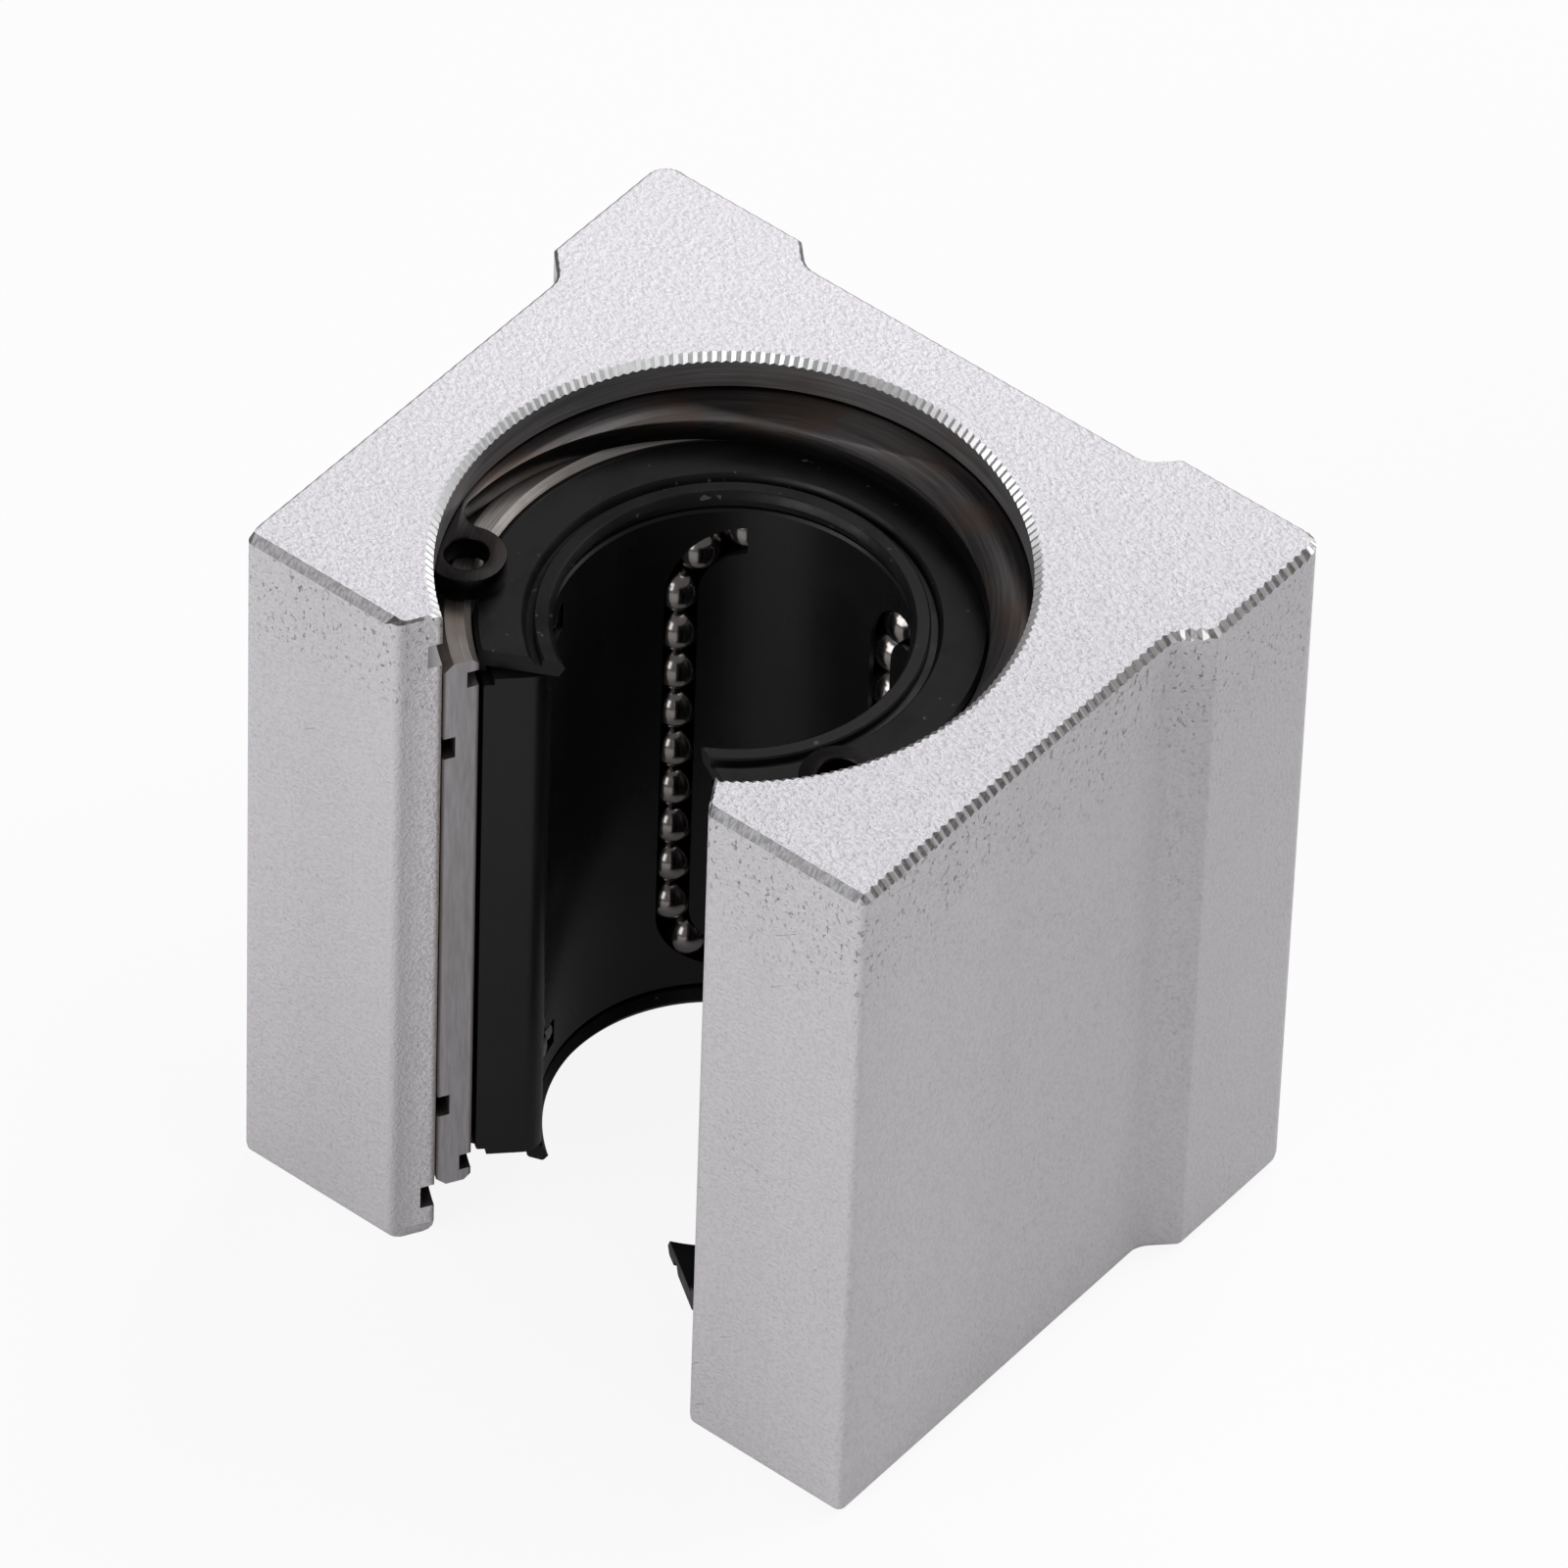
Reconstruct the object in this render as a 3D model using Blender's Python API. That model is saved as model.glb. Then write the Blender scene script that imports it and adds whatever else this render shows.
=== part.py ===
"""An open linear ball bushing in its aluminium pillow block, standing on one end.

The bore runs along Z, the mounting pads face +Y and the slot for the shaft support faces -Y.
Everything is laid out around the bore axis, from the shaft outwards: balls, sleeve, block.
"""

import math

import bmesh
import bpy
from mathutils import Matrix, Vector

for old in list(bpy.data.objects):
    bpy.data.objects.remove(old, do_unlink=True)

# Shaft, balls and their circuits (metres and degrees)
SHAFT_DIA = 0.020
BALL_DIA = 0.003175
BALL_TO_SHAFT = 0.00001  # what is left between a ball and the shaft
BALL_PITCH_SHARE = 0.983  # neighbours in a row press together on a small contact flat
STRING_END_GAP = 0.00012  # from the last ball of a string to the first of the next
CIRCUIT_ANGLES = (216.0, 144.0, 72.0, 0.0)  # where the loaded rows lie round the bore
RETURN_LAG = 36.0  # from a loaded row back to its return row
RETURN_LIFT = 0.0019  # how much further out the return row runs
CHANNEL_CLEARANCE = 0.0002  # round a ball in the cage and in the return grooves
RACE_CLEARANCE = 0.00003  # between a loaded ball and its raceway

# Cage
CAGE_BORE_CLEARANCE = 0.0006  # from the shaft to the cage
CAGE_END_WALL = 0.00045  # plastic left beyond the end of a channel
CAGE_STEP = 0.0006  # the cage's ends are turned down to pass inside the seals
CAGE_SLOT_WIDTH = 0.011  # at the cage's bore
CAGE_SLOT_ANGLE = 90.0

# Sleeve
SLEEVE_LENGTH = 0.042
SLEEVE_WALL = 0.0021
SLEEVE_BORE_RELIEF = 0.001465  # the bore stands back from the loaded balls by this much
SLEEVE_CHAMFER = 0.0006
SLEEVE_BORE_CHAMFER = 0.0004
RING_GROOVE_SPAN = 0.0305  # over the outer edges of the two outside grooves
RING_GROOVE_WIDTH = 0.0016
RING_GROOVE_DEPTH = 0.00075
SLEEVE_TO_CAGE = 0.0003
RACEWAY_WIDTH = 0.003
RACEWAY_LIP = 0.0009  # the raceway's edges stop this far outside the ball centres
SEAL_GROOVE_INSET = 0.0009  # from the sleeve's end to the groove that holds the seal
SEAL_GROOVE_WIDTH = 0.0012
SEAL_GROOVE_DEPTH = 0.0007

# End seals
SEAL_RECESS = 0.0003  # from the sleeve's end down to the seal's face
SEAL_THICKNESS = 0.0012
SEAL_LIP_CLEARANCE = 0.00005
SEAL_LIP_WIDTH = 0.0011
SEAL_LIP_BEVEL = 0.0003  # from the seal's face in to its wiping edge
SEAL_GROOVE_FACE_WIDTH = 0.0006  # the moulded channel round the lip
SEAL_GROOVE_FACE_DEPTH = 0.0005
SEAL_SKIRT_WALL = 0.00045
SEAL_TO_SLEEVE = 0.00015
SEAL_SLOT_WIDTH = 0.0098
SEAL_SLOT_ANGLE = 124.0

# Retaining rings
CIRCLIP_THICKNESS = 0.0015
CIRCLIP_SIDE_PLAY = 0.0001
CIRCLIP_GROOVE_DEPTH = 0.00085
CIRCLIP_IN_GROOVE = 0.0001  # radial room left at the bottom of the groove
CIRCLIP_WIDTH = 0.0042  # radial, opposite the gap
CIRCLIP_TAPER = 0.0027  # the inner edge's centre stands this far towards the gap
CIRCLIP_LUG_DIA = 0.0046
CIRCLIP_HOLE_DIA = 0.0025
CIRCLIP_LUG_ANGLE = 62.0  # each lug from the middle of the gap

# Block
BLOCK_END_RECESS = 0.004  # from the block's end to the sleeve's end
SLEEVE_IN_BLOCK = 0.00005
PAD_SIDE_WALL = 0.0072  # beside the bore, at the mounting pads
LEG_SIDE_WALL = 0.00545  # beside the bore, below the step
PAD_FACE_WALL = 0.0062  # from the bore to the mounting pads
OPEN_FACE_TO_AXIS = 0.016
STEP_HEIGHT = 0.0098  # pads to side step
PAD_WIDTH = 0.0102
PAD_RECESS = 0.0015
PAD_CORNER = 0.0013
LEG_CORNER = 0.0006
STEP_FILLET = 0.0015  # at the foot of the side step and beside the pads
BLOCK_CHAMFER = 0.00045
BLOCK_SLOT_WIDTH = 0.0196  # where the slot meets the bore
SLOT_ANGLE = 60.0
SLEEVE_SLOT_STEP = 0.00015  # the sleeve's slot edge stands this far into the block's slot

# Fasteners
MOUNT_HOLE_DIA = 0.005  # tapping size of M6
MOUNT_HOLE_DEPTH = 0.012
MOUNT_HOLE_INSET = 0.0065  # from the side face
MOUNT_HOLE_PITCH = 0.035  # along the bore
SCREW_DIA = 0.005
SCREW_CLEARANCE = 0.0001
SCREW_SINK = 0.0006  # below the side face
SCREW_KEY = 0.0025  # across the flats of its hexagon socket
SCREW_KEY_DEPTH = 0.0022
SCREW_POINT_DIA = 0.0025
SCREW_POINT_REACH = 0.0004  # into the sleeve
SCREW_SEAT_CLEARANCE = 0.0003
SCREW_SHOULDER_GAP = 0.0003  # from the block's bore to the cone behind the point

# Facets
TURNED_STEPS = 48
BALL_SIDES = 8
BALL_LATITUDES = 5
TURN_STEPS = 10
CHANNEL_STEPS = 6
HOLE_STEPS = 16
CORNER_STEPS = 3

# Radii and heights that follow from these
shaft_r = SHAFT_DIA / 2
ball_r = BALL_DIA / 2
row_r = shaft_r + BALL_TO_SHAFT + ball_r
return_r = row_r + RETURN_LIFT
channel_r = ball_r + CHANNEL_CLEARANCE
sleeve_bore_r = row_r + ball_r + SLEEVE_BORE_RELIEF
sleeve_r = sleeve_bore_r + SLEEVE_WALL
cage_bore_r = shaft_r + CAGE_BORE_CLEARANCE
cage_r = sleeve_bore_r - SLEEVE_TO_CAGE
bore_r = sleeve_r + SLEEVE_IN_BLOCK
block_length = SLEEVE_LENGTH + 2 * BLOCK_END_RECESS
mid_z = block_length / 2
pad_y = bore_r + PAD_FACE_WALL
pad_x = bore_r + PAD_SIDE_WALL
leg_x = bore_r + LEG_SIDE_WALL
axis_y = (OPEN_FACE_TO_AXIS - pad_y) / 2

# The racetrack that one circuit of balls follows lies in a plane through its two rows
loaded_point = Vector((row_r, 0.0))
return_point = return_r * Vector((math.cos(math.radians(-RETURN_LAG)), math.sin(math.radians(-RETURN_LAG))))
across = return_point - loaded_point
turn_r = across.length / 2
circuit_middle = (loaded_point + return_point) / 2
circuit_twist = math.atan2(across.y, across.x)
pitch = BALL_DIA * BALL_PITCH_SHARE
turn_step = 2 * math.asin(pitch / 2 / turn_r)
turn_count = int(math.pi / turn_step)
first_turn_angle = (math.pi - (turn_count - 1) * turn_step) / 2
string_gap_arc = 2 * turn_r * math.asin((BALL_DIA + STRING_END_GAP) / 2 / turn_r)
row_end = string_gap_arc - first_turn_angle * turn_r  # from the last ball of a row to the start of the turn
seal_back = SEAL_RECESS + SEAL_THICKNESS
cage_length = SLEEVE_LENGTH - 2 * (seal_back + SLEEVE_TO_CAGE)
straight_room = cage_length - 2 * (CAGE_END_WALL + channel_r + turn_r)
row_count = 1 + int((straight_room - 2 * row_end) / pitch)
straight_length = (row_count - 1) * pitch + 2 * row_end


# ---------------------------------------------------------------------------
# Modelling
# ---------------------------------------------------------------------------
def material(name, colour, metallic, roughness):
    made = bpy.data.materials.new(name)
    made.use_nodes = True
    shader = made.node_tree.nodes["Principled BSDF"]
    shader.inputs["Base Color"].default_value = (*colour, 1.0)
    shader.inputs["Metallic"].default_value = metallic
    shader.inputs["Roughness"].default_value = roughness
    made.diffuse_color = (*colour, 1.0)
    return made


def finished(name, bm):
    """The bmesh as a smooth-shaded mesh with its faces pointing out."""
    bmesh.ops.recalc_face_normals(bm, faces=bm.faces)
    mesh = bpy.data.meshes.new(name)
    bm.to_mesh(mesh)
    bm.free()
    mesh.shade_smooth()
    mesh.set_sharp_from_angle(angle=math.radians(35))
    return mesh


def placed(name, mesh, finish=None, matrix=Matrix.Identity(4), parent=None):
    """One object of the mesh, at a place given from the bore axis."""
    obj = bpy.data.objects.new(name, mesh)
    bpy.context.scene.collection.objects.link(obj)
    if finish and not mesh.materials:
        mesh.materials.append(finish)
    obj.parent = parent or bore_axis
    obj.matrix_local = matrix
    return obj


def helper(name, mesh, matrix=Matrix.Identity(4)):
    """A cutter or a blank, which is no piece by itself."""
    obj = placed(name, mesh, matrix=matrix)
    obj.hide_render = True
    obj.display_type = "WIRE"
    return obj


def combine(obj, other, operation):
    step = obj.modifiers.new(other.name, "BOOLEAN")
    step.operation = operation
    step.solver = "EXACT"
    step.object = other


def cut(obj, cutter):
    combine(obj, cutter, "DIFFERENCE")


def join(obj, blank):
    combine(obj, blank, "UNION")


def arc(centre, radius, start, end, steps):
    """Points on a circle in the XY plane, with both ends, from angle to angle in degrees."""
    return [
        Vector((centre[0] + radius * math.cos(a), centre[1] + radius * math.sin(a)))
        for a in (math.radians(start + (end - start) * i / steps) for i in range(steps + 1))
    ]


def heading(start, end):
    """The angle in degrees of the way from one point to another."""
    way = end - start
    return math.degrees(math.atan2(way.y, way.x)) % 360


def turned(name, profile, steps=TURNED_STEPS):
    """A closed outline of (radius, height) points, turned round Z."""
    bm = bmesh.new()
    corners = [bm.verts.new((r, 0.0, z)) for r, z in profile]
    wire = [bm.edges.new(pair) for pair in zip(corners, corners[1:] + corners[:1])]
    bmesh.ops.spin(
        bm,
        geom=corners + wire,
        cent=(0, 0, 0),
        axis=(0, 0, 1),
        angle=2 * math.pi,
        steps=steps,
        use_merge=True,
        use_normal_flip=False,
        use_duplicate=False,
    )
    return finished(name, bm)


def extruded(name, outline, bottom, top, chamfer=0.0):
    """A closed outline of points in XY, raised from bottom to top, its end edges chamfered."""
    bm = bmesh.new()
    base = bm.faces.new([bm.verts.new((x, y, bottom)) for x, y in outline])
    grown = bmesh.ops.extrude_face_region(bm, geom=[base])
    raised = [v for v in grown["geom"] if isinstance(v, bmesh.types.BMVert)]
    bmesh.ops.translate(bm, verts=raised, vec=(0, 0, top - bottom))
    if chamfer:
        bmesh.ops.recalc_face_normals(bm, faces=bm.faces)
        rims = [e for e in bm.edges if abs(e.verts[0].co.z - e.verts[1].co.z) < chamfer / 10]
        bmesh.ops.bevel(bm, geom=rims, offset=chamfer, offset_type="OFFSET", segments=1, affect="EDGES")
    return finished(name, bm)


def skinned(name, rings, closed=False):
    """A skin over rings of points. A ring of one point is a pole."""
    bm = bmesh.new()
    made = [[bm.verts.new(p) for p in ring] for ring in rings]
    pairs = list(zip(made, made[1:] + made[:1])) if closed else list(zip(made, made[1:]))
    for lower, upper in pairs:
        count = max(len(lower), len(upper))
        for i in range(count):
            j = (i + 1) % count
            if len(lower) == 1:
                bm.faces.new((lower[0], upper[j], upper[i]))
            elif len(upper) == 1:
                bm.faces.new((lower[i], lower[j], upper[0]))
            else:
                bm.faces.new((lower[i], lower[j], upper[j], upper[i]))
    return finished(name, bm)


def rod(name, radius, bottom, top, steps=HOLE_STEPS):
    return extruded(name, arc((0, 0), radius, 0, 360 - 360 / steps, steps - 1), bottom, top)


def slot_cutter(name, width, angle, radius):
    """A wedge along the bore, as wide as given where it leaves a bore of this radius."""
    half = width / 2
    slope = math.tan(math.radians(angle / 2))
    apex_y = half / slope - math.sqrt(radius**2 - half**2)
    reach = 2 * bore_r
    outline = [(0, apex_y), (-reach * slope, apex_y - reach), (reach * slope, apex_y - reach)]
    return helper(name, extruded(name, outline, -block_length, 2 * block_length))


# ---------------------------------------------------------------------------
# The bore axis, which carries every piece, and the finishes
# ---------------------------------------------------------------------------
bore_axis = bpy.data.objects.new("bore_axis", None)
bpy.context.scene.collection.objects.link(bore_axis)
bore_axis.location = (0, axis_y, 0)

blasted_aluminium = material("blasted_aluminium", (0.62, 0.60, 0.63), 0.85, 0.55)
bearing_steel = material("bearing_steel", (0.46, 0.43, 0.41), 1.0, 0.35)
ball_steel = material("ball_steel", (0.80, 0.80, 0.80), 1.0, 0.08)
cage_plastic = material("cage_plastic", (0.012, 0.012, 0.013), 0.0, 0.38)
seal_rubber = material("seal_rubber", (0.016, 0.016, 0.018), 0.0, 0.5)
spring_steel = material("spring_steel", (0.13, 0.11, 0.10), 1.0, 0.3)
blackened_steel = material("blackened_steel", (0.04, 0.04, 0.045), 0.9, 0.4)


# ---------------------------------------------------------------------------
# Block: one extruded section, chamfered at its ends, bored, grooved and tapped
# ---------------------------------------------------------------------------
def foot(corner, arriving, leaving):
    """The arc that fills an inner corner, from the way in to the way out."""
    inward = Vector(arriving).normalized()
    outward = Vector(leaving).normalized()
    half_turn = inward.angle(outward) / 2
    middle = Vector(corner) + (outward - inward).normalized() * STEP_FILLET / math.cos(half_turn)
    start = Vector(corner) - inward * STEP_FILLET * math.tan(half_turn)
    turned_by = math.degrees(inward.angle_signed(outward))
    from_angle = heading(middle, start)
    return arc(middle, STEP_FILLET, from_angle, from_angle - turned_by, CORNER_STEPS)


def block_outline():
    slope = math.tan(math.radians(SLOT_ANGLE / 2))
    bore_half = BLOCK_SLOT_WIDTH / 2
    bore_mouth = math.sqrt(bore_r**2 - bore_half**2)
    face_half = bore_half + (OPEN_FACE_TO_AXIS - bore_mouth) * slope
    step = pad_x - leg_x
    step_y = pad_y - STEP_HEIGHT
    pad_edge = pad_x - PAD_WIDTH
    right = [Vector((face_half, -OPEN_FACE_TO_AXIS))]
    right += arc((leg_x - LEG_CORNER, LEG_CORNER - OPEN_FACE_TO_AXIS), LEG_CORNER, -90, 0, CORNER_STEPS)
    right += foot((leg_x, step_y - step), (0, 1), (1, 1))
    right += [Vector((pad_x, step_y))]
    right += arc((pad_x - PAD_CORNER, pad_y - PAD_CORNER), PAD_CORNER, 0, 90, CORNER_STEPS)
    right += [Vector((pad_edge, pad_y))]
    right += foot((pad_edge - PAD_RECESS, pad_y - PAD_RECESS), (-1, -1), (-1, 0))
    left = [Vector((-p.x, p.y)) for p in reversed(right)]
    half_open = math.degrees(math.asin(bore_half / bore_r))
    bore = arc((0, 0), bore_r, 270 - half_open, half_open - 90, TURNED_STEPS)
    return right + left + bore


block = placed(
    "block_housing",
    extruded("block_housing", block_outline(), 0, block_length, BLOCK_CHAMFER),
    blasted_aluminium,
)

circlip_groove_width = CIRCLIP_THICKNESS + 2 * CIRCLIP_SIDE_PLAY
for end, low in (
    ("bottom", BLOCK_END_RECESS - circlip_groove_width),
    ("top", block_length - BLOCK_END_RECESS),
):
    name = f"circlip_groove_{end}"
    groove = [
        (bore_r - CIRCLIP_GROOVE_DEPTH, low),
        (bore_r + CIRCLIP_GROOVE_DEPTH, low),
        (bore_r + CIRCLIP_GROOVE_DEPTH, low + circlip_groove_width),
        (bore_r - CIRCLIP_GROOVE_DEPTH, low + circlip_groove_width),
    ]
    cut(block, helper(name, turned(name, groove)))

hole_profile = [
    (0, -MOUNT_HOLE_DEPTH - MOUNT_HOLE_DIA / 4),
    (MOUNT_HOLE_DIA / 2, -MOUNT_HOLE_DEPTH),
    (MOUNT_HOLE_DIA / 2, PAD_RECESS),
    (0, PAD_RECESS),
]


def drill(name, profile, steps=HOLE_STEPS):
    """A turned solid whose profile starts and ends on Z."""
    rings = [
        [(0, 0, z)] if r == 0 else [(p.x, p.y, z) for p in arc((0, 0), r, 0, 360 - 360 / steps, steps - 1)]
        for r, z in profile
    ]
    return skinned(name, rings)


hole_mesh = drill("mount_hole", hole_profile)
towards_pads = Matrix.Rotation(math.radians(-90), 4, "X")
for side, x in (("left", MOUNT_HOLE_INSET - pad_x), ("right", pad_x - MOUNT_HOLE_INSET)):
    for end, z in (("bottom", mid_z - MOUNT_HOLE_PITCH / 2), ("top", mid_z + MOUNT_HOLE_PITCH / 2)):
        hole = helper(
            f"mount_hole_{side}_{end}", hole_mesh, Matrix.Translation((x, pad_y, z)) @ towards_pads
        )
        cut(block, hole)

towards_left = Matrix.Translation((0, 0, mid_z)) @ Matrix.Rotation(math.radians(-90), 4, "Y")
screw_hole_r = SCREW_DIA / 2 + SCREW_CLEARANCE
screw_hole = helper(
    "screw_hole", rod("screw_hole", screw_hole_r, bore_r - LEG_SIDE_WALL / 2, 2 * leg_x), towards_left
)
cut(block, screw_hole)


# ---------------------------------------------------------------------------
# Shapes that the circuits share, drawn in the plane of one racetrack:
# X from the loaded row to the return row, Y outwards, Z along the bore
# ---------------------------------------------------------------------------
def circuit_frame(angle):
    turn = Matrix.Rotation(math.radians(angle), 4, "Z")
    middle = Matrix.Translation((*circuit_middle, mid_z))
    return turn @ middle @ Matrix.Rotation(circuit_twist, 4, "Z")


def racetrack(section):
    """The section of (sideways, outwards) points, carried once round the racetrack."""
    rings = []
    for sense in (1, -1):
        for i in range(TURN_STEPS + 1):
            a = math.pi * i / TURN_STEPS
            side = Vector((-sense * math.cos(a), 0, sense * math.sin(a)))
            centre = side * turn_r + Vector((0, 0, sense * straight_length / 2))
            rings.append([centre + side * s + Vector((0, out, 0)) for s, out in section])
    return rings


def string_stations(count):
    """(ball, latitude) of each ring along a string, from its first pole to its last."""
    flat = math.asin(pitch / BALL_DIA)
    stations = [(0, -math.pi / 2)]
    for ball in range(count):
        for i in range(1, BALL_LATITUDES):
            stations.append((ball, flat * (2 * i / (BALL_LATITUDES - 1) - 1)))
    stations[-1] = (count - 1, math.pi / 2)
    return stations


def ball_ring(centre, side, latitude):
    """One ring of a ball, or its pole, in the plane of side and Y."""
    if abs(latitude) == math.pi / 2:
        return [centre]
    radius = ball_r * math.cos(latitude)
    angles = [2 * math.pi * i / BALL_SIDES for i in range(BALL_SIDES)]
    return [centre + side * (radius * math.cos(a)) + Vector((0, radius * math.sin(a), 0)) for a in angles]


def straight_string(name):
    """A row of balls along Z, which press on each other at small flats."""
    rings = []
    for ball, latitude in string_stations(row_count):
        height = (ball - (row_count - 1) / 2) * pitch + ball_r * math.sin(latitude)
        rings.append(ball_ring(Vector((0, 0, height)), Vector((1, 0, 0)), latitude))
    return skinned(name, rings)


def turn_string(name):
    """The balls of a half turn, round the turn's centre, from the loaded side over the top."""
    rings = []
    for ball, latitude in string_stations(turn_count):
        lean = math.asin(ball_r * math.sin(latitude) / turn_r)
        a = first_turn_angle + ball * turn_step + lean
        side = Vector((-math.cos(a), 0, math.sin(a)))
        rings.append(ball_ring(side * (turn_r * math.cos(lean)), side, latitude))
    return skinned(name, rings)


row_mesh = straight_string("ball_row")
turn_mesh = turn_string("ball_turn")
row_mesh.materials.append(ball_steel)
turn_mesh.materials.append(ball_steel)

# A groove as wide as a ball and its clearance, open outwards, which takes the balls in the cage
rim = [(p.x, p.y) for p in arc((0, 0), channel_r, 180, 360, CHANNEL_STEPS)]
open_side = 2 * channel_r
channel_mesh = skinned(
    "ball_channel", racetrack(rim + [(channel_r, open_side), (-channel_r, open_side)]), closed=True
)
# A round one, whose outer side the sleeve takes
whole_rim = arc((0, 0), channel_r, 0, 360 - 180 / CHANNEL_STEPS, 2 * CHANNEL_STEPS - 1)
round_section = [(p.x, p.y) for p in whole_rim]
relief_mesh = skinned("ball_relief", racetrack(round_section), closed=True)

# The bar that backs a loaded row, hollowed to the balls' own radius
half_race = RACEWAY_WIDTH / 2
race_top = sleeve_bore_r - row_r + SLEEVE_WALL / 2
race_outline = [
    (-half_race, RACEWAY_LIP),
    (half_race, RACEWAY_LIP),
    (half_race, race_top),
    (-half_race, race_top),
]
race_mesh = extruded("raceway", race_outline, -straight_length / 2, straight_length / 2)
race_r = (ball_r + RACE_CLEARANCE) / math.cos(math.pi / HOLE_STEPS)
race_cut_mesh = rod("raceway_hollow", race_r, -straight_length, straight_length)

# ---------------------------------------------------------------------------
# Sleeve: hardened steel, turned, split by the slot, with a raceway behind each loaded row
# ---------------------------------------------------------------------------
half_sleeve = SLEEVE_LENGTH / 2
seal_groove_top = half_sleeve - SEAL_GROOVE_INSET
seal_groove_low = seal_groove_top - SEAL_GROOVE_WIDTH
seal_groove_r = sleeve_bore_r + SEAL_GROOVE_DEPTH
ring_groove_top = RING_GROOVE_SPAN / 2
ring_groove_low = ring_groove_top - RING_GROOVE_WIDTH
ring_groove_r = sleeve_r - RING_GROOVE_DEPTH
upper_half = [
    (ring_groove_r, ring_groove_low),
    (ring_groove_r, ring_groove_top),
    (sleeve_r, ring_groove_top),
    (sleeve_r, half_sleeve - SLEEVE_CHAMFER),
    (sleeve_r - SLEEVE_CHAMFER, half_sleeve),
    (sleeve_bore_r + SLEEVE_BORE_CHAMFER, half_sleeve),
    (sleeve_bore_r, half_sleeve - SLEEVE_BORE_CHAMFER),
    (sleeve_bore_r, seal_groove_top),
    (seal_groove_r, seal_groove_top),
    (seal_groove_r, seal_groove_low),
    (sleeve_bore_r, seal_groove_low),
]
outer = [(sleeve_r, ring_groove_low)] + upper_half
sleeve_profile = outer + [(r, -z) for r, z in reversed(outer)]
to_middle = Matrix.Translation((0, 0, mid_z))
sleeve = placed("outer_sleeve", turned("outer_sleeve", sleeve_profile), bearing_steel, to_middle)

bore_half = BLOCK_SLOT_WIDTH / 2 - SLEEVE_SLOT_STEP
cut(sleeve, slot_cutter("sleeve_slot", 2 * bore_half, SLOT_ANGLE, bore_r))
for number, angle in enumerate(CIRCUIT_ANGLES, 1):
    frame = circuit_frame(angle)
    loaded_side = frame @ Matrix.Translation((-turn_r, 0, 0))
    cut(sleeve, helper(f"relief_{number}", relief_mesh, frame))
    race = helper(f"raceway_{number}", race_mesh, loaded_side)
    cut(race, helper(f"raceway_hollow_{number}", race_cut_mesh, loaded_side))
    join(sleeve, race)

point_end = sleeve_r - SCREW_POINT_REACH
seat_r = SCREW_POINT_DIA / 2 + SCREW_SEAT_CLEARANCE
seat = rod("screw_seat", seat_r, point_end - SCREW_SEAT_CLEARANCE, 2 * sleeve_r)
cut(sleeve, helper("screw_seat", seat, towards_left))

# ---------------------------------------------------------------------------
# Cage: black plastic, with one channel for each circuit, open to the shaft along the loaded row
# ---------------------------------------------------------------------------
half_cage = cage_length / 2
skirt_end = seal_groove_low + SEAL_TO_SLEEVE
step_low = skirt_end - SLEEVE_TO_CAGE
end_r = cage_r - CAGE_STEP
cage_upper = [(cage_r, step_low), (end_r, step_low), (end_r, half_cage), (cage_bore_r, half_cage)]
cage_profile = cage_upper + [(r, -z) for r, z in reversed(cage_upper)]
cage = placed("ball_cage", turned("ball_cage", cage_profile), cage_plastic, to_middle)
cut(cage, slot_cutter("cage_slot", CAGE_SLOT_WIDTH, CAGE_SLOT_ANGLE, cage_bore_r))
for number, angle in enumerate(CIRCUIT_ANGLES, 1):
    cut(cage, helper(f"channel_{number}", channel_mesh, circuit_frame(angle)))

# ---------------------------------------------------------------------------
# Balls: each circuit is two straight strings and two turning ones
# ---------------------------------------------------------------------------
upside_down = Matrix.Rotation(math.pi, 4, "Y")
for number, angle in enumerate(CIRCUIT_ANGLES, 1):
    frame = circuit_frame(angle)
    turn_height = straight_length / 2
    for name, mesh, place in (
        ("loaded_row", row_mesh, Matrix.Translation((-turn_r, 0, 0))),
        ("return_row", row_mesh, Matrix.Translation((turn_r, 0, 0))),
        ("top_turn", turn_mesh, Matrix.Translation((0, 0, turn_height))),
        ("bottom_turn", turn_mesh, Matrix.Translation((0, 0, -turn_height)) @ upside_down),
    ):
        placed(f"circuit_{number}_{name}", mesh, matrix=frame @ place)

# ---------------------------------------------------------------------------
# End seals: rubber, clipped over the cage's ends into a groove of the sleeve
# ---------------------------------------------------------------------------
lip_r = shaft_r + SEAL_LIP_CLEARANCE
seal_r = sleeve_bore_r - SEAL_TO_SLEEVE
seal_rib_r = seal_groove_r - SEAL_TO_SLEEVE
seal_face = half_sleeve - SEAL_RECESS
seal_floor = half_sleeve - seal_back
face_groove_r = lip_r + SEAL_LIP_WIDTH
face_groove_z = seal_face - SEAL_GROOVE_FACE_DEPTH
seal_profile = [
    (lip_r, seal_face - SEAL_LIP_BEVEL),
    (lip_r + SEAL_LIP_BEVEL, seal_face),
    (face_groove_r, seal_face),
    (face_groove_r, face_groove_z),
    (face_groove_r + SEAL_GROOVE_FACE_WIDTH, face_groove_z),
    (face_groove_r + SEAL_GROOVE_FACE_WIDTH, seal_face),
    (seal_r, seal_face),
    (seal_r, seal_groove_top - SEAL_TO_SLEEVE),
    (seal_rib_r, seal_groove_top - SEAL_TO_SLEEVE),
    (seal_rib_r, skirt_end),
    (seal_r - SEAL_SKIRT_WALL, skirt_end),
    (seal_r - SEAL_SKIRT_WALL, seal_floor),
    (lip_r + SEAL_LIP_WIDTH / 2, seal_floor),
]
seal_mesh = turned("end_seal", seal_profile)
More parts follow.
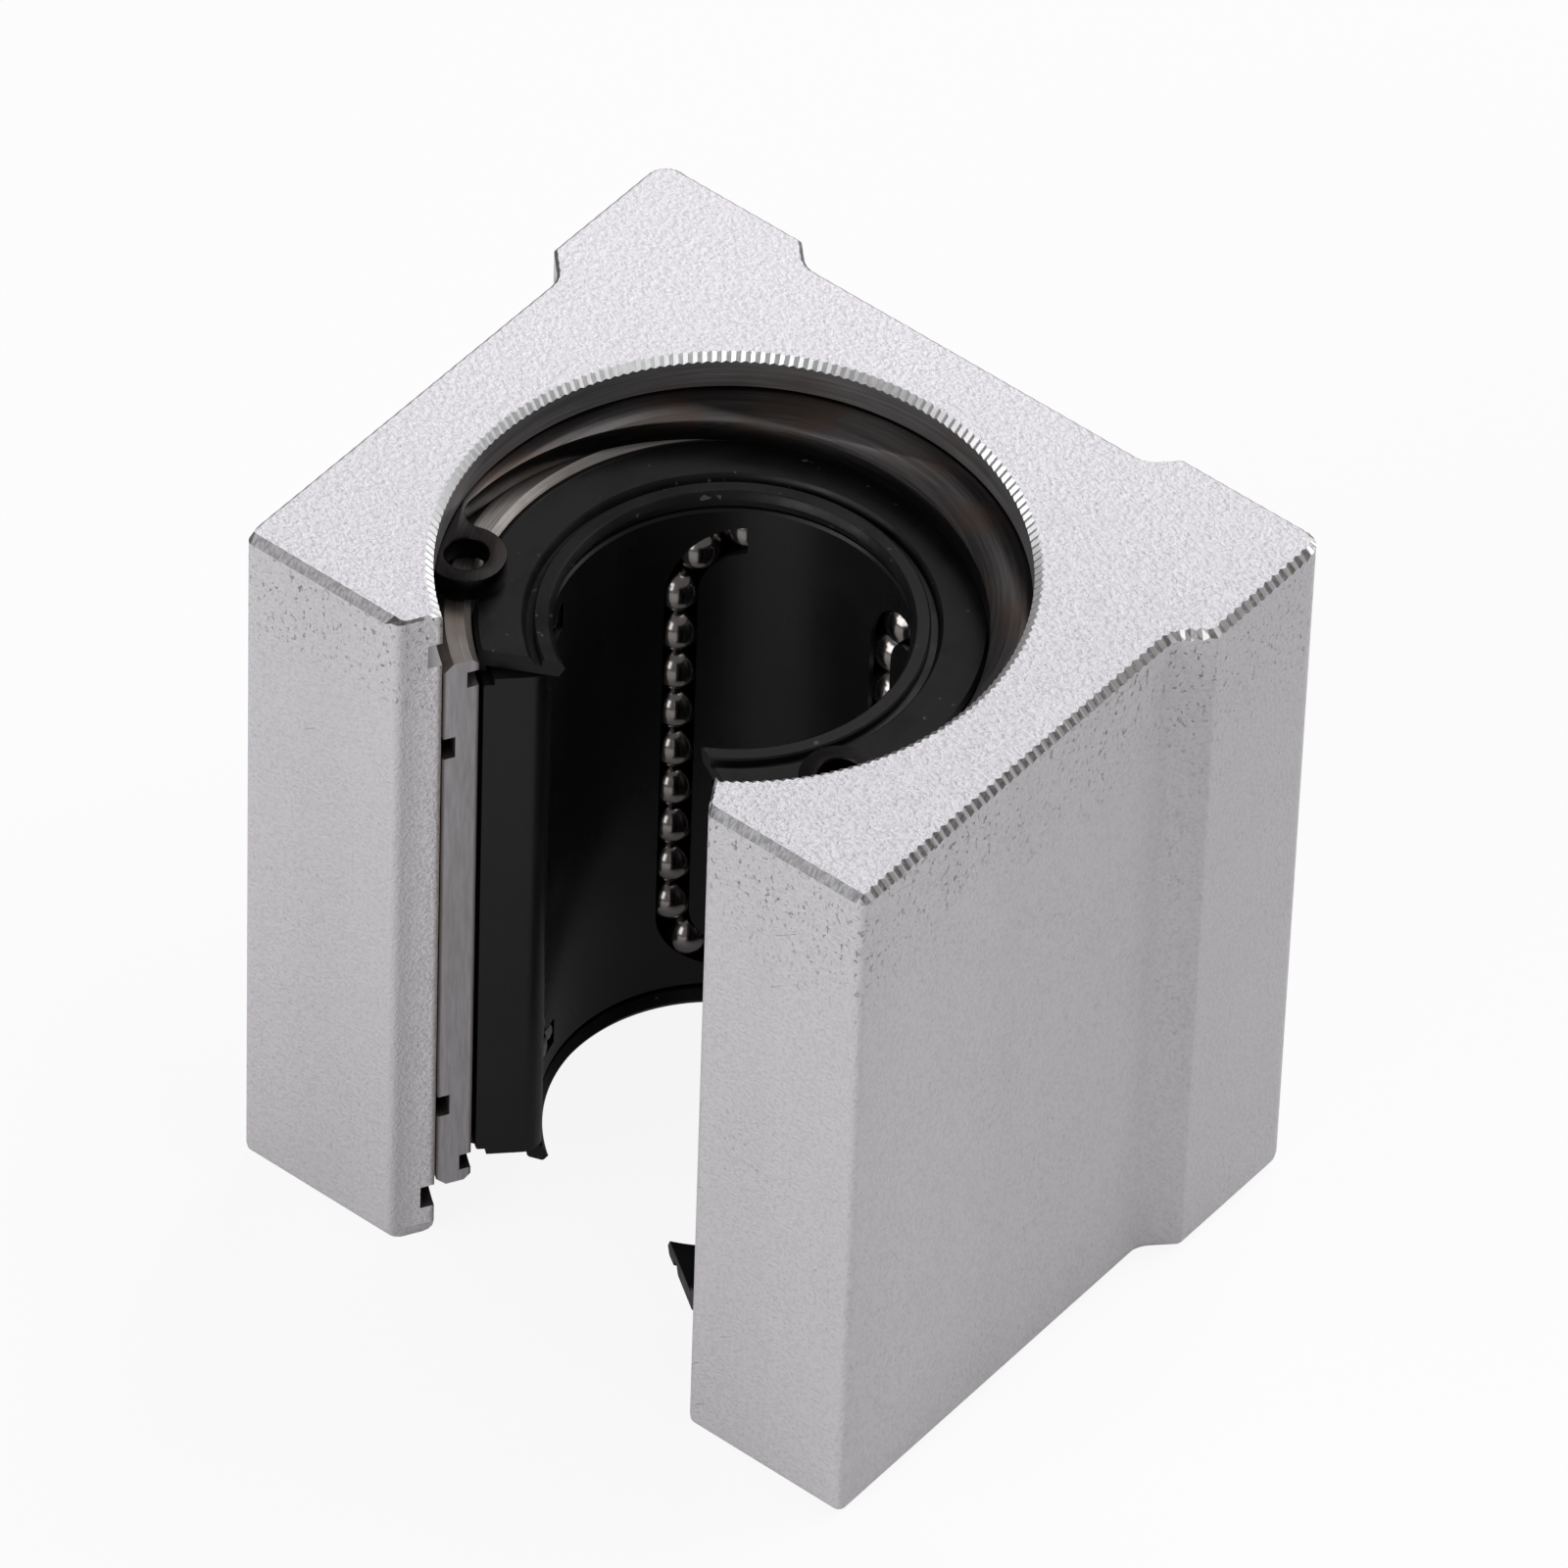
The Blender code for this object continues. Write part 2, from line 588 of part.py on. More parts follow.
seal_slot = slot_cutter("seal_slot", SEAL_SLOT_WIDTH, SEAL_SLOT_ANGLE, lip_r)
for end, place in (("top", to_middle), ("bottom", to_middle @ upside_down)):
    cut(placed(f"end_seal_{end}", seal_mesh, seal_rubber, place), seal_slot)


# ---------------------------------------------------------------------------
# Retaining rings: spring steel, in the block's grooves at both ends of the sleeve
# ---------------------------------------------------------------------------
def crossing(first, first_r, second, second_r):
    """Where two circles cross, on the left of the way from the first centre to the second."""
    way = second - first
    along = (way.length_squared + first_r**2 - second_r**2) / (2 * way.length)
    off = math.sqrt(first_r**2 - along**2)
    ahead = way.normalized()
    return first + ahead * along + Vector((-ahead.y, ahead.x)) * off


circlip_r = bore_r + CIRCLIP_GROOVE_DEPTH - CIRCLIP_IN_GROOVE
lug_r = CIRCLIP_LUG_DIA / 2
lug_heading = 270 - CIRCLIP_LUG_ANGLE
left_lug = Vector((circlip_r - lug_r, 0.0)) @ Matrix.Rotation(math.radians(-lug_heading), 2)


def circlip_outline():
    """Round the outer edge to a lug, round the lug, and back along the inner edge. Then its mirror image."""
    inner_r = circlip_r - CIRCLIP_WIDTH + CIRCLIP_TAPER
    inner_centre = Vector((0, -CIRCLIP_TAPER))
    fillet_r = lug_r / 2
    fillet = crossing(left_lug, lug_r + fillet_r, inner_centre, inner_r - fillet_r)
    left = arc((0, 0), circlip_r, 90, lug_heading, TURNED_STEPS // 2)
    left += arc(left_lug, lug_r, lug_heading, heading(left_lug, fillet) + 360, 14)[1:]
    left += arc(fillet, fillet_r, heading(fillet, left_lug), heading(inner_centre, fillet), 4)[1:]
    left += arc(inner_centre, inner_r, heading(inner_centre, fillet), 90, TURNED_STEPS // 2)[1:]
    return left + [Vector((-p.x, p.y)) for p in reversed(left[1:-1])]


circlip_mesh = extruded("circlip", circlip_outline(), 0, CIRCLIP_THICKNESS)
lug_hole_mesh = rod("lug_hole", CIRCLIP_HOLE_DIA / 2, -CIRCLIP_THICKNESS, 2 * CIRCLIP_THICKNESS)
circlip_gap = BLOCK_END_RECESS - CIRCLIP_SIDE_PLAY
for end, low in (("top", block_length - circlip_gap), ("bottom", circlip_gap - CIRCLIP_THICKNESS)):
    lift = Matrix.Translation((0, 0, low))
    ring = placed(f"circlip_{end}", circlip_mesh, spring_steel, lift)
    for side, x in (("left", left_lug.x), ("right", -left_lug.x)):
        spot = Matrix.Translation((x, left_lug.y, low))
        cut(ring, helper(f"lug_hole_{end}_{side}", lug_hole_mesh, spot))

# ---------------------------------------------------------------------------
# Set screw: through the left side wall, its point in the sleeve so that this cannot turn
# ---------------------------------------------------------------------------
screw_r = SCREW_DIA / 2
point_r = SCREW_POINT_DIA / 2
screw_top = leg_x - SCREW_SINK
screw_shoulder = bore_r + SCREW_SHOULDER_GAP
screw_chamfer = SCREW_DIA / 10
screw_profile = [
    (0, point_end),
    (point_r, point_end),
    (point_r, screw_shoulder),
    (screw_r, screw_shoulder + screw_r - point_r),
    (screw_r, screw_top - screw_chamfer),
    (screw_r - screw_chamfer, screw_top),
    (0, screw_top),
]
set_screw = placed("set_screw", drill("set_screw", screw_profile), blackened_steel, towards_left)
socket_r = SCREW_KEY / 2 / math.cos(math.pi / 6)
socket = rod("screw_socket", socket_r, screw_top - SCREW_KEY_DEPTH, screw_top + SCREW_SINK, 6)
cut(set_screw, helper("screw_socket", socket, towards_left))
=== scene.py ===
"""Dresses an open linear ball bushing in its aluminium pillow block, piece by piece, in the order
in which the bearing is put together. Lengths are in metres, around the bore axis."""

import math

import bmesh
import bpy
from mathutils import Matrix, Vector


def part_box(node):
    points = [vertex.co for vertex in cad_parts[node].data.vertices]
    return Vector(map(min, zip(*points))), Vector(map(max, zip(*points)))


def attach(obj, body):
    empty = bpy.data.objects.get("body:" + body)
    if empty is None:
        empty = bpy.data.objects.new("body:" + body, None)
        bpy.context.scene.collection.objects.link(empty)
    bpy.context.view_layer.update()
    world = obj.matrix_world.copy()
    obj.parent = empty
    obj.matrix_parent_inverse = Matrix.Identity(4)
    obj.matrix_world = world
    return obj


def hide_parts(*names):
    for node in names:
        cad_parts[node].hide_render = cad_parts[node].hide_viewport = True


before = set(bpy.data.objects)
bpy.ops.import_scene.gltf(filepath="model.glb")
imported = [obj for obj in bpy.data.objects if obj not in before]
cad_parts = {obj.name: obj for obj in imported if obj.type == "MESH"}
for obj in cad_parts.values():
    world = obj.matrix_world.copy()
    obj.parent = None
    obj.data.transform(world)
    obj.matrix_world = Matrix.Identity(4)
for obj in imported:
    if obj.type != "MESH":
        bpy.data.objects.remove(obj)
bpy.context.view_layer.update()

# ---------------------------------------------------------------------------
# Block: an aluminium extrusion, sawn to length and fine-blasted, then slotted, bored through
# and chamfered with a chattering cutter. Its four pad holes are tapped M6 from the far side.
# ---------------------------------------------------------------------------
mm = 0.001
block_low, block_high = (Vector(corner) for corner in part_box("block_housing"))
sleeve_low, sleeve_high = (Vector(corner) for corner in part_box("outer_sleeve"))
sleeve_r = (sleeve_high.x - sleeve_low.x) / 2
sleeve_fit = 0.05 * mm
axis_y = sleeve_high.y - sleeve_r
mid_z = (block_low.z + block_high.z) / 2
half_length = block_high.z - mid_z
bore_r = sleeve_r + sleeve_fit
pad_x = block_high.x
pad_y = block_high.y - axis_y
open_y = axis_y - block_low.y
side_step = 1.75 * mm
flange_depth = 9.8 * mm  # from the pads to the step in the sides
step_y = pad_y - flange_depth
slot_half = 9.8 * mm  # where the slot meets the bore
slot_slope = math.tan(math.radians(30))
crisp_angle = math.radians(28)
at_middle = Matrix.Translation((0, axis_y, mid_z))


def arc(centre, radius, start, end, steps):
    """Points on a circle in XY, from angle to angle in degrees."""
    angles = [math.radians(start + (end - start) * i / steps) for i in range(steps + 1)]
    return [Vector(centre) + radius * Vector((math.cos(a), math.sin(a))) for a in angles]


def rounded(corners, degrees_per_step=7):
    """The run of points round each (x, y, radius) corner of a closed outline."""
    runs = []
    for i, (x, y, radius) in enumerate(corners):
        here = Vector((x, y))
        back = (Vector(corners[i - 1][:2]) - here).normalized()
        ahead = (Vector(corners[(i + 1) % len(corners)][:2]) - here).normalized()
        half = back.angle(ahead) / 2
        if not radius:
            runs.append([here])
            continue
        centre = here + (back + ahead).normalized() * radius / math.sin(half)
        first = here + back * radius / math.tan(half) - centre
        last = here + ahead * radius / math.tan(half) - centre
        turn = first.angle_signed(last)
        steps = max(2, round(math.degrees(abs(turn)) / degrees_per_step))
        runs.append([centre + Matrix.Rotation(-turn * k / steps, 2) @ first for k in range(steps + 1)])
    return runs


def smoothed(mesh):
    """Smooth shading that stays crisp at the edges."""
    mesh.shade_smooth()
    mesh.set_sharp_from_angle(angle=crisp_angle)
    return mesh


def finished(name, bm, *finishes):
    """The bmesh as a smoothed mesh with its materials."""
    bmesh.ops.recalc_face_normals(bm, faces=bm.faces)
    mesh = bpy.data.meshes.new(name)
    bm.to_mesh(mesh)
    bm.free()
    for finish in finishes:
        mesh.materials.append(finish)
    return smoothed(mesh)


def placed(name, mesh, matrix):
    obj = bpy.data.objects.new(name, mesh)
    bpy.context.scene.collection.objects.link(obj)
    obj.matrix_world = matrix
    return obj


def skin(bm, rings, closed=False, finish=0):
    """Quads and end fans over rings of points. A ring of one point is a pole."""
    made = [[bm.verts.new(point) for point in ring] for ring in rings]
    for lower, upper in zip(made, made[1:] + made[:1] if closed else made[1:]):
        count = max(len(lower), len(upper))
        for i in range(count):
            j = (i + 1) % count
            if len(lower) == 1:
                face = bm.faces.new((lower[0], upper[j], upper[i]))
            elif len(upper) == 1:
                face = bm.faces.new((lower[i], lower[j], upper[0]))
            else:
                face = bm.faces.new((lower[i], lower[j], upper[j], upper[i]))
            face.material_index = finish
    return made


def turned(name, profile, *finishes, steps=240, finish=0):
    """A solid of revolution round Z. A profile that leaves the axis ends back on it, others close."""
    bm = bmesh.new()
    rings = [
        [(0, 0, z)] if r == 0 else [(*p, z) for p in arc((0, 0), r, 0, 360 - 360 / steps, steps - 1)]
        for r, z in profile
    ]
    skin(bm, rings, closed=profile[0][0] != 0, finish=finish)
    return finished(name, bm, *finishes)


def carve(obj, steps):
    """Cuts or joins the given (operation, mesh, place) helpers, and keeps the finished mesh."""
    helpers = []
    for operation, mesh, place in steps:
        helper = placed(f"{obj.name}_tool", mesh, place)
        change = obj.modifiers.new("carve", "BOOLEAN")
        change.operation = operation
        change.solver = "EXACT"
        change.object = helper
        helpers.append(helper)
    graph = bpy.context.evaluated_depsgraph_get()
    mesh = bpy.data.meshes.new_from_object(obj.evaluated_get(graph))
    obj.modifiers.clear()
    obj.data = smoothed(mesh)
    for helper in helpers:
        bpy.data.objects.remove(helper, do_unlink=True)


def settle(piece, body, slot, *nodes):
    """Sets the piece on the empty of the body it rides on and hides the solids it stands for. The slot is
    not used.
    """
    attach(piece, body)
    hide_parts(*nodes)


class Value:
    """A shader socket that can stand in a sum, so that 1 - mask adds its own Math node."""

    def __init__(self, finish, socket):
        self.finish = finish
        self.socket = socket

    def beside(self, output):
        """Another output of the same node."""
        return Value(self.finish, self.socket.node.outputs[output])

    def math(self, operation, *others):
        return self.finish.math(operation, self, *others)

    def __add__(self, other):
        return self.finish.math("ADD", self, other)

    def __radd__(self, other):
        return self.finish.math("ADD", other, self)

    def __sub__(self, other):
        return self.finish.math("SUBTRACT", self, other)

    def __rsub__(self, other):
        return self.finish.math("SUBTRACT", other, self)

    def __mul__(self, other):
        return self.finish.math("MULTIPLY", self, other)

    def __rmul__(self, other):
        return self.finish.math("MULTIPLY", other, self)

    def __truediv__(self, other):
        return self.finish.math("DIVIDE", self, other)

    def __rtruediv__(self, other):
        return self.finish.math("DIVIDE", other, self)

    def between(self, low, high, to_low=0.0, to_high=1.0):
        """The value mapped from one range to another, and held within it."""
        sockets = {"Value": self, "From Min": low, "From Max": high, "To Min": to_low, "To Max": to_high}
        return self.finish.node("ShaderNodeMapRange", {"interpolation_type": "SMOOTHSTEP"}, sockets)


class Finish:
    """A material built from expressions on Values."""

    def __init__(self, name, metallic, roughness, **plain):
        self.material = bpy.data.materials.new(name)
        self.material.use_nodes = True
        self.tree = self.material.node_tree
        self.shader = self.tree.nodes["Principled BSDF"]
        self.show(Metallic=metallic, Roughness=roughness, **plain)
        self.place = self.node("ShaderNodeTexCoord", {}, {}, "Object")

    def set(self, node, sockets):
        """Links each Value to its socket, and writes anything else into it."""
        for socket, value in sockets.items():
            if isinstance(value, Value):
                self.tree.links.new(value.socket, node.inputs[socket])
            elif isinstance(value, tuple) and node.inputs[socket].type == "RGBA":
                node.inputs[socket].default_value = (*value, 1)
            else:
                node.inputs[socket].default_value = value

    def node(self, kind, settings, sockets, output=0):
        """A node of any kind: its settings first, then the values or links of its sockets."""
        node = self.tree.nodes.new(kind)
        for setting, value in settings.items():
            setattr(node, setting, value)
        self.set(node, sockets)
        return Value(self, node.outputs[output])

    def math(self, operation, *values):
        return self.node("ShaderNodeMath", {"operation": operation}, dict(enumerate(values)))

    def mixed(self, mask, first, second):
        """One colour turning into another. The node's colour sockets are its numbers 6, 7 and 2."""
        return self.node("ShaderNodeMix", {"data_type": "RGBA"}, {0: mask, 6: first, 7: second}, 2)

    def noise(self, scale, detail=2.0, rough=0.5, stretch=None, place=None):
        """Noise at a place, or with its own scale along X, Y and Z where it is stretched."""
        place = place or self.place
        if stretch:
            place = self.node("ShaderNodeVectorMath", {"operation": "MULTIPLY"}, {0: place, 1: stretch})
        sockets = {"Vector": place, "Scale": scale, "Detail": detail, "Roughness": rough}
        return self.node("ShaderNodeTexNoise", {}, sockets, "Fac")

    def axes(self):
        """A point's own X, Y and Z."""
        x = self.node("ShaderNodeSeparateXYZ", {}, {0: self.place})
        return x, x.beside("Y"), x.beside("Z")

    def round_the_bore(self):
        """Where a point lies as (radius, height, turns), for marks that run round the axis."""
        x, y, z = self.axes()
        radius = (x * x + y * y).math("SQRT")
        turns = x.math("ARCTAN2", y) / (2 * math.pi)
        return radius, z, turns

    def point(self, x, y, z):
        return self.node("ShaderNodeCombineXYZ", {}, {0: x, 1: y, 2: z})

    def bump(self, height, distance, strength=1.0):
        sockets = {"Height": height, "Distance": distance, "Strength": strength}
        normal = self.node("ShaderNodeBump", {}, sockets)
        self.set(self.shader, {"Normal": normal})

    def show(self, **sockets):
        """Fills the shader's own sockets, and gives the material."""
        self.set(self.shader, {socket.replace("_", " "): value for socket, value in sockets.items()})
        return self.material


# For each kind of edge, given in mm: the chamfer's width, how far the cutter chattered there, and the
# pitch of its marks.
chamfers = {"face": 0.5, "side": 0.45, "left": 0.18, "pad": 0.22, "slot": 0.16, "bore": 0.45}
chatter = {"face": 0.01, "side": 0.11, "left": 0.02, "pad": 0.02, "slot": 0.02, "bore": 0.08}
tick = {"face": 0.5, "side": 0.35, "left": 0.5, "pad": 0.5, "slot": 0.3, "bore": 0.27}
for sizes in (chamfers, chatter, tick):
    sizes.update((kind, size * mm) for kind, size in sizes.items())


def blasted_end():
    """Fine orange peel, as sharp grit leaves it, nearly white, and shallower towards the far pad."""
    finish = Finish("blasted_aluminium", 0.25, 0.6)
    x, y, _ = finish.axes()
    depth = 0.5 + 0.9 * (x - y).between(-42 * mm, 32 * mm)
    grain = finish.noise(1.0, 2.0, 0.6, stretch=(4200, 6400, 5000))
    coarse = finish.noise(1.0, 2.0, 0.5, stretch=(2400, 3400, 3000))
    broad = finish.noise(170, 3.0)
    finish.bump(depth * (grain + 1.5 * coarse), 0.2 * mm, 1.0)
    dimples = (0.5 * grain + 0.5 * coarse).between(0.36, 0.56)
    base = finish.mixed(dimples, (0.65, 0.625, 0.67), (0.785, 0.76, 0.80))
    return finish.show(Base_Color=finish.mixed(0.3 * broad, base, (0.66, 0.64, 0.67)))


def blasted_skin(name, strokes, dark, light):
    """A drawn or milled wall, blasted over: grain, short pits that crowd near the top, a scratch or two."""
    finish = Finish(name, 0.35, 0.5)
    height = finish.axes()[2]
    grain = finish.noise(4200, 3.0, 0.65)
    bands = finish.noise(1.0, 2.0, 0.5, stretch=strokes)
    crowded = finish.noise(150, 2.0).between(0.38, 0.66)
    near_top = height.between(half_length - 11 * mm, half_length - mm)
    share = 0.2 * crowded + near_top * (0.4 + 0.4 * crowded)
    pits = finish.noise(1.0, 3.0, 0.7, stretch=(3000, 3000, 1900)).between(0.41, 0.33)
    slanted = finish.node(
        "ShaderNodeMapping",
        {"vector_type": "TEXTURE"},
        {"Vector": finish.place, "Rotation": (0.5, 0.45, 0.6), "Scale": (0.005, 0.0001, 0.005)},
    )
    scratches = finish.noise(1.0, 1.0, 0.5, place=slanted).between(0.79, 0.82)
    marks = pits * share
    finish.bump(grain - 1.4 * marks - 0.5 * scratches, 0.11 * mm, 1.0)
    base = finish.mixed(bands.between(0.3, 0.7), dark, light)
    base = finish.mixed(0.45 * grain.between(0.56, 0.38), base, (0.45, 0.435, 0.455))
    base = finish.mixed(0.8 * marks, base, (0.13, 0.12, 0.115))
    base = finish.mixed(0.4 * scratches, base, (0.30, 0.285, 0.29))
    return finish, base, grain


def extruded_skin():
    finish, base, grain = blasted_skin(
        "extruded_skin", (110, 110, 4), (0.585, 0.565, 0.59), (0.62, 0.60, 0.625)
    )
    return finish.show(Base_Color=base, Roughness=0.42 + 0.2 * grain)


def milled_slot():
    """The slot's walls, in the same finish but brown with oil along the lip of the bore. More than 2 mm in
    from the open face, their colour is painted lighter than the skin's: painted light in the slot.
    """
    # Painted light: the colours given here are lighter than the skin's, for light that the slot does not
    # get.
    finish, base, grain = blasted_skin(
        "milled_slot", (900, 900, 200), (0.80, 0.775, 0.80), (0.86, 0.835, 0.86)
    )
    # Near the open face, the painted light fades back to the skin's tone.
    painted_light_depth = finish.axes()[1].between(0.1 * mm - open_y, 2 * mm - open_y)
    base = finish.mixed(painted_light_depth, (0.60, 0.58, 0.60), base)
    radius = finish.round_the_bore()[0]
    lip = radius.between(bore_r + 0.35 * mm, bore_r + 0.02 * mm)
    base = finish.mixed(0.75 * lip, base, (0.16, 0.125, 0.105))
    return finish.show(Base_Color=base, Roughness=0.42 + 0.2 * grain)


def cut_edge():
    """The chamfers that the cutter and a file left: bright, finely lined, a little brown swarf in them."""
    finish = Finish("cut_edge", 0.9, 0.3)
    strokes = finish.noise(1.0, 3.0, 0.65, stretch=(6500, 2600, 1500))
    broad = finish.noise(210, 3.0, 0.6)
    finish.bump(strokes, 0.01 * mm, 0.4)
    base = finish.mixed(strokes.between(0.35, 0.65), (0.15, 0.147, 0.152), (0.27, 0.267, 0.273))
    base = finish.mixed(0.4 * broad.between(0.5, 0.8), base, (0.21, 0.18, 0.155))
    x, y, _ = finish.axes()
    # Along the side's chamfer: lighter and darker stripes at the chatter's pitch. The chatter marks are
    # real; their light and shade on the tilted facets is painted.
    chatter_and_painted_light = (y * (math.pi / tick["side"])).math("SINE")
    on_side = x.between(pad_x - side_step - 0.65 * mm, pad_x - side_step - 0.5 * mm)
    base = finish.mixed(on_side * chatter_and_painted_light.between(-0.3, 0.3), base, (0.46, 0.45, 0.445))
    rim = finish.round_the_bore()[0].between(bore_r + 1.2 * mm, bore_r + 0.8 * mm)
    base = finish.mixed(0.6 * rim, base, (0.80, 0.80, 0.81))
    return finish.show(Base_Color=base, Roughness=0.26 + 0.25 * strokes)


def bored_wall():
    """Turning marks round the bore, dark with oil, and brown where it has dried."""
    finish = Finish("bored_wall", 0.85, 0.35)
    radius, height, turns = finish.round_the_bore()
    rings = finish.noise(1.0, 3.0, 0.65, place=finish.point(turns * 14, height * 9000, radius * 400))
    stains = finish.noise(1.0, 3.0, 0.6, place=finish.point(turns * 9, height * 160, radius * 90))
    finish.bump(rings, 0.02 * mm, 0.4)
    base = finish.mixed(rings.between(0.3, 0.7), (0.19, 0.182, 0.188), (0.34, 0.333, 0.342))
    base = finish.mixed(0.7 * stains.between(0.45, 0.75), base, (0.16, 0.13, 0.115))
    return finish.show(Base_Color=base, Roughness=0.36 + 0.2 * rings)


mouth_y = math.sqrt(bore_r**2 - slot_half**2)
face_half = slot_half + (open_y - mouth_y) * slot_slope
pad_width = 10.2 * mm
pad_inner = pad_x - pad_width
pad_recess = 1.5 * mm
bore_arc = 5.0  # radians of the circle that the slot leaves, roughly, to count the cutter's marks by
foot_share = 2.3  # how far the rounded foot moves in, in chamfer widths
foot_r = 1.0 * mm
chamfer_rise = 0.9  # a chamfer's height over its width
right_corners = [
    (face_half, -open_y, 0.7 * mm, "face"),
    (pad_x - side_step, -open_y, 0.5 * mm, "side"),
    (pad_x - side_step, step_y - side_step, 1.6 * mm, "side"),
    (pad_x, step_y, 0.3 * mm, "side"),
    (pad_x, pad_y, 1.3 * mm, "pad"),
    (pad_inner, pad_y, 0.25 * mm, "pad"),
    (pad_inner - pad_recess, pad_y - pad_recess, 1.6 * mm, "pad"),
]
left_kinds = ["pad", "pad", "left", "left", "left", "face", "slot"]
corners = right_corners + [
    (-x, y, r, kind) for (x, y, r, _), kind in zip(reversed(right_corners), left_kinds)
]


def meet(start, heading, radius):
    """Where a line leaves a circle round the bore axis."""
    along = start.dot(heading)
    return start + heading * (math.sqrt(along**2 - start.length_squared + radius**2) - along)


def moved_in(share):
    """Runs of points round the section, with each edge moved in by a share of its chamfer."""
    lip = Vector((slot_half, -mouth_y))
    slant = Vector((slot_slope, -1)).normalized()
    points = [lip] + [Vector(corner[:2]) for corner in corners] + [Vector((-lip.x, lip.y))]
    sizes = [chamfers[kind] * share for kind in ["slot"] + [corner[3] for corner in corners]]
    lip_in = meet(lip + Vector((-slant.y, slant.x)) * sizes[0], slant, bore_r + chamfers["bore"] * share)
    moved = []
    for i, corner in enumerate(corners, 1):
        first = (points[i] - points[i - 1]).normalized()
        second = (points[i + 1] - points[i]).normalized()
        turn = first.cross(second)
        here = points[i] + (second * sizes[i - 1] - first * sizes[i]) / turn
        radius = corner[2] - math.copysign((sizes[i - 1] + sizes[i]) / 2, turn)
        moved.append((*here, max(radius, 0.04 * mm)))
    runs = rounded([(*lip_in, 0)] + moved + [(-lip_in.x, lip_in.y, 0)])[1:-1]
    start = 180 - math.degrees(math.atan2(lip_in.y, lip_in.x))
    bore_steps = 2 * round(bore_arc * bore_r / tick["bore"] / 2)
    return runs + [arc((0, 0), lip_in.length, start, 180 - start, bore_steps)]


# The section as it stands, at the top of its chamfers and at its foot, point for point, with the kind
# of edge that starts at each point. Straight stretches get points at the pitch of the cutter's marks.
section = []
section_in = []
section_foot = []
kinds = []
run_kinds = [corner[3] for corner in corners] + ["slot"]
outlines = [moved_in(share) for share in (0.0, 1.0, foot_share)]
for number, runs in enumerate(zip(*outlines)):
    own = "bore" if number == len(run_kinds) - 1 else run_kinds[number]
    ahead = [outline[(number + 1) % len(outline)][0] for outline in outlines]
    length = (ahead[0] - runs[0][-1]).length
    steps = 2 * max(1, round(length / tick[run_kinds[number]] / 2)) + 1
    for points, run, following in zip((section, section_in, section_foot), runs, ahead):
        points.extend(run)
        points.extend(run[-1].lerp(following, k / steps) for k in range(1, steps))
    kinds += [own] * (len(runs[0]) - 1) + [run_kinds[number]] * steps

# The cutter chattered, so it stands at each point in turn a little deeper and a little shallower.
insets = []
drops = []
for i, (here, here_in, kind) in enumerate(zip(section, section_in, kinds)):
    room = min((here_in - section_in[i - 1]).length, (section_in[(i + 1) % len(kinds)] - here_in).length)
    share = 1 + min(chatter[kind], 0.3 * room) / chamfers[kind] * (1 if i % 2 else -1)
    insets.append(here.lerp(here_in, share))
    drops.append(chamfer_rise * chamfers[kind] * share)

levels = []
for a in (0, 22.5, 45, 67.5, 90):
    share = 1 - math.sin(math.radians(a))
    rise = 1 - math.cos(math.radians(a))
    points = [p.lerp(p_foot, share) for p, p_foot in zip(section, section_foot)]
    levels.append([(*p, foot_r * rise - half_length) for p in points])
levels.append([(*p, half_length - drop) for p, drop in zip(section, drops)])
levels.append([(*p, half_length) for p in insets])
bm = bmesh.new()
END, SKIN, EDGE, BORE, SLOT = range(5)
rings = skin(bm, levels)
for face in bm.faces:
    face.material_index = EDGE if all(v.co.z > half_length - mm for v in face.verts) else SKIN

# Between the foot and the chamfers, each stretch of the wall has the finish of its own kind of edge.
wall_finish = dict.fromkeys(chamfers, SKIN) | {"slot": SLOT, "bore": BORE}
for i, kind in enumerate(kinds):
    j = (i + 1) % len(kinds)
    wall = {rings[-3][i], rings[-3][j], rings[-2][j], rings[-2][i]}
    for face in rings[-3][i].link_faces:
        if set(face.verts) == wall:
            face.material_index = wall_finish[kind]
for end in (rings[0], rings[-1]):
    bm.faces.new(end).material_index = END
block_finishes = [blasted_end(), extruded_skin(), cut_edge(), bored_wall(), milled_slot()]
block = placed("pillow_block", finished("pillow_block", bm, *block_finishes), at_middle)

ring_groove_top = half_length - 2.3 * mm
ring_groove_low = half_length - 4.0 * mm
ring_groove_r = bore_r + 0.85 * mm
upper_groove = [
    (bore_r - 0.5 * mm, ring_groove_low),
    (ring_groove_r, ring_groove_low),
    (ring_groove_r, ring_groove_top),
    (bore_r - 0.5 * mm, ring_groove_top),
]
lower_groove = [(r, -z) for r, z in reversed(upper_groove)]
thread_r = 3.0 * mm
tap_drill_r = 2.5 * mm
thread_pitch = 1.0 * mm
tapped = [
    (0, -14.5 * mm),
    (tap_drill_r, -13.0 * mm),
    (tap_drill_r, -12.0 * mm),
    (thread_r, -11.6 * mm),
    (thread_r, -0.35 * mm),
    (thread_r + 0.5 * mm, 0.15 * mm),
    (thread_r + 0.5 * mm, mm),
    (0, mm),
]
tapped_mesh = turned("tapped", tapped, *block_finishes, steps=48, finish=BORE)
pad_hole_x = pad_x - 6.5 * mm
pad_hole_z = 17.5 * mm
towards_pads = Matrix.Rotation(math.radians(-90), 4, "X")
hole_places = [
    at_middle @ Matrix.Translation((x, pad_y, z)) @ towards_pads
    for x in (-pad_hole_x, pad_hole_x)
    for z in (-pad_hole_z, pad_hole_z)
]
towards_left = Matrix.Rotation(math.radians(-90), 4, "Y")
screw_hole_r = 2.6 * mm
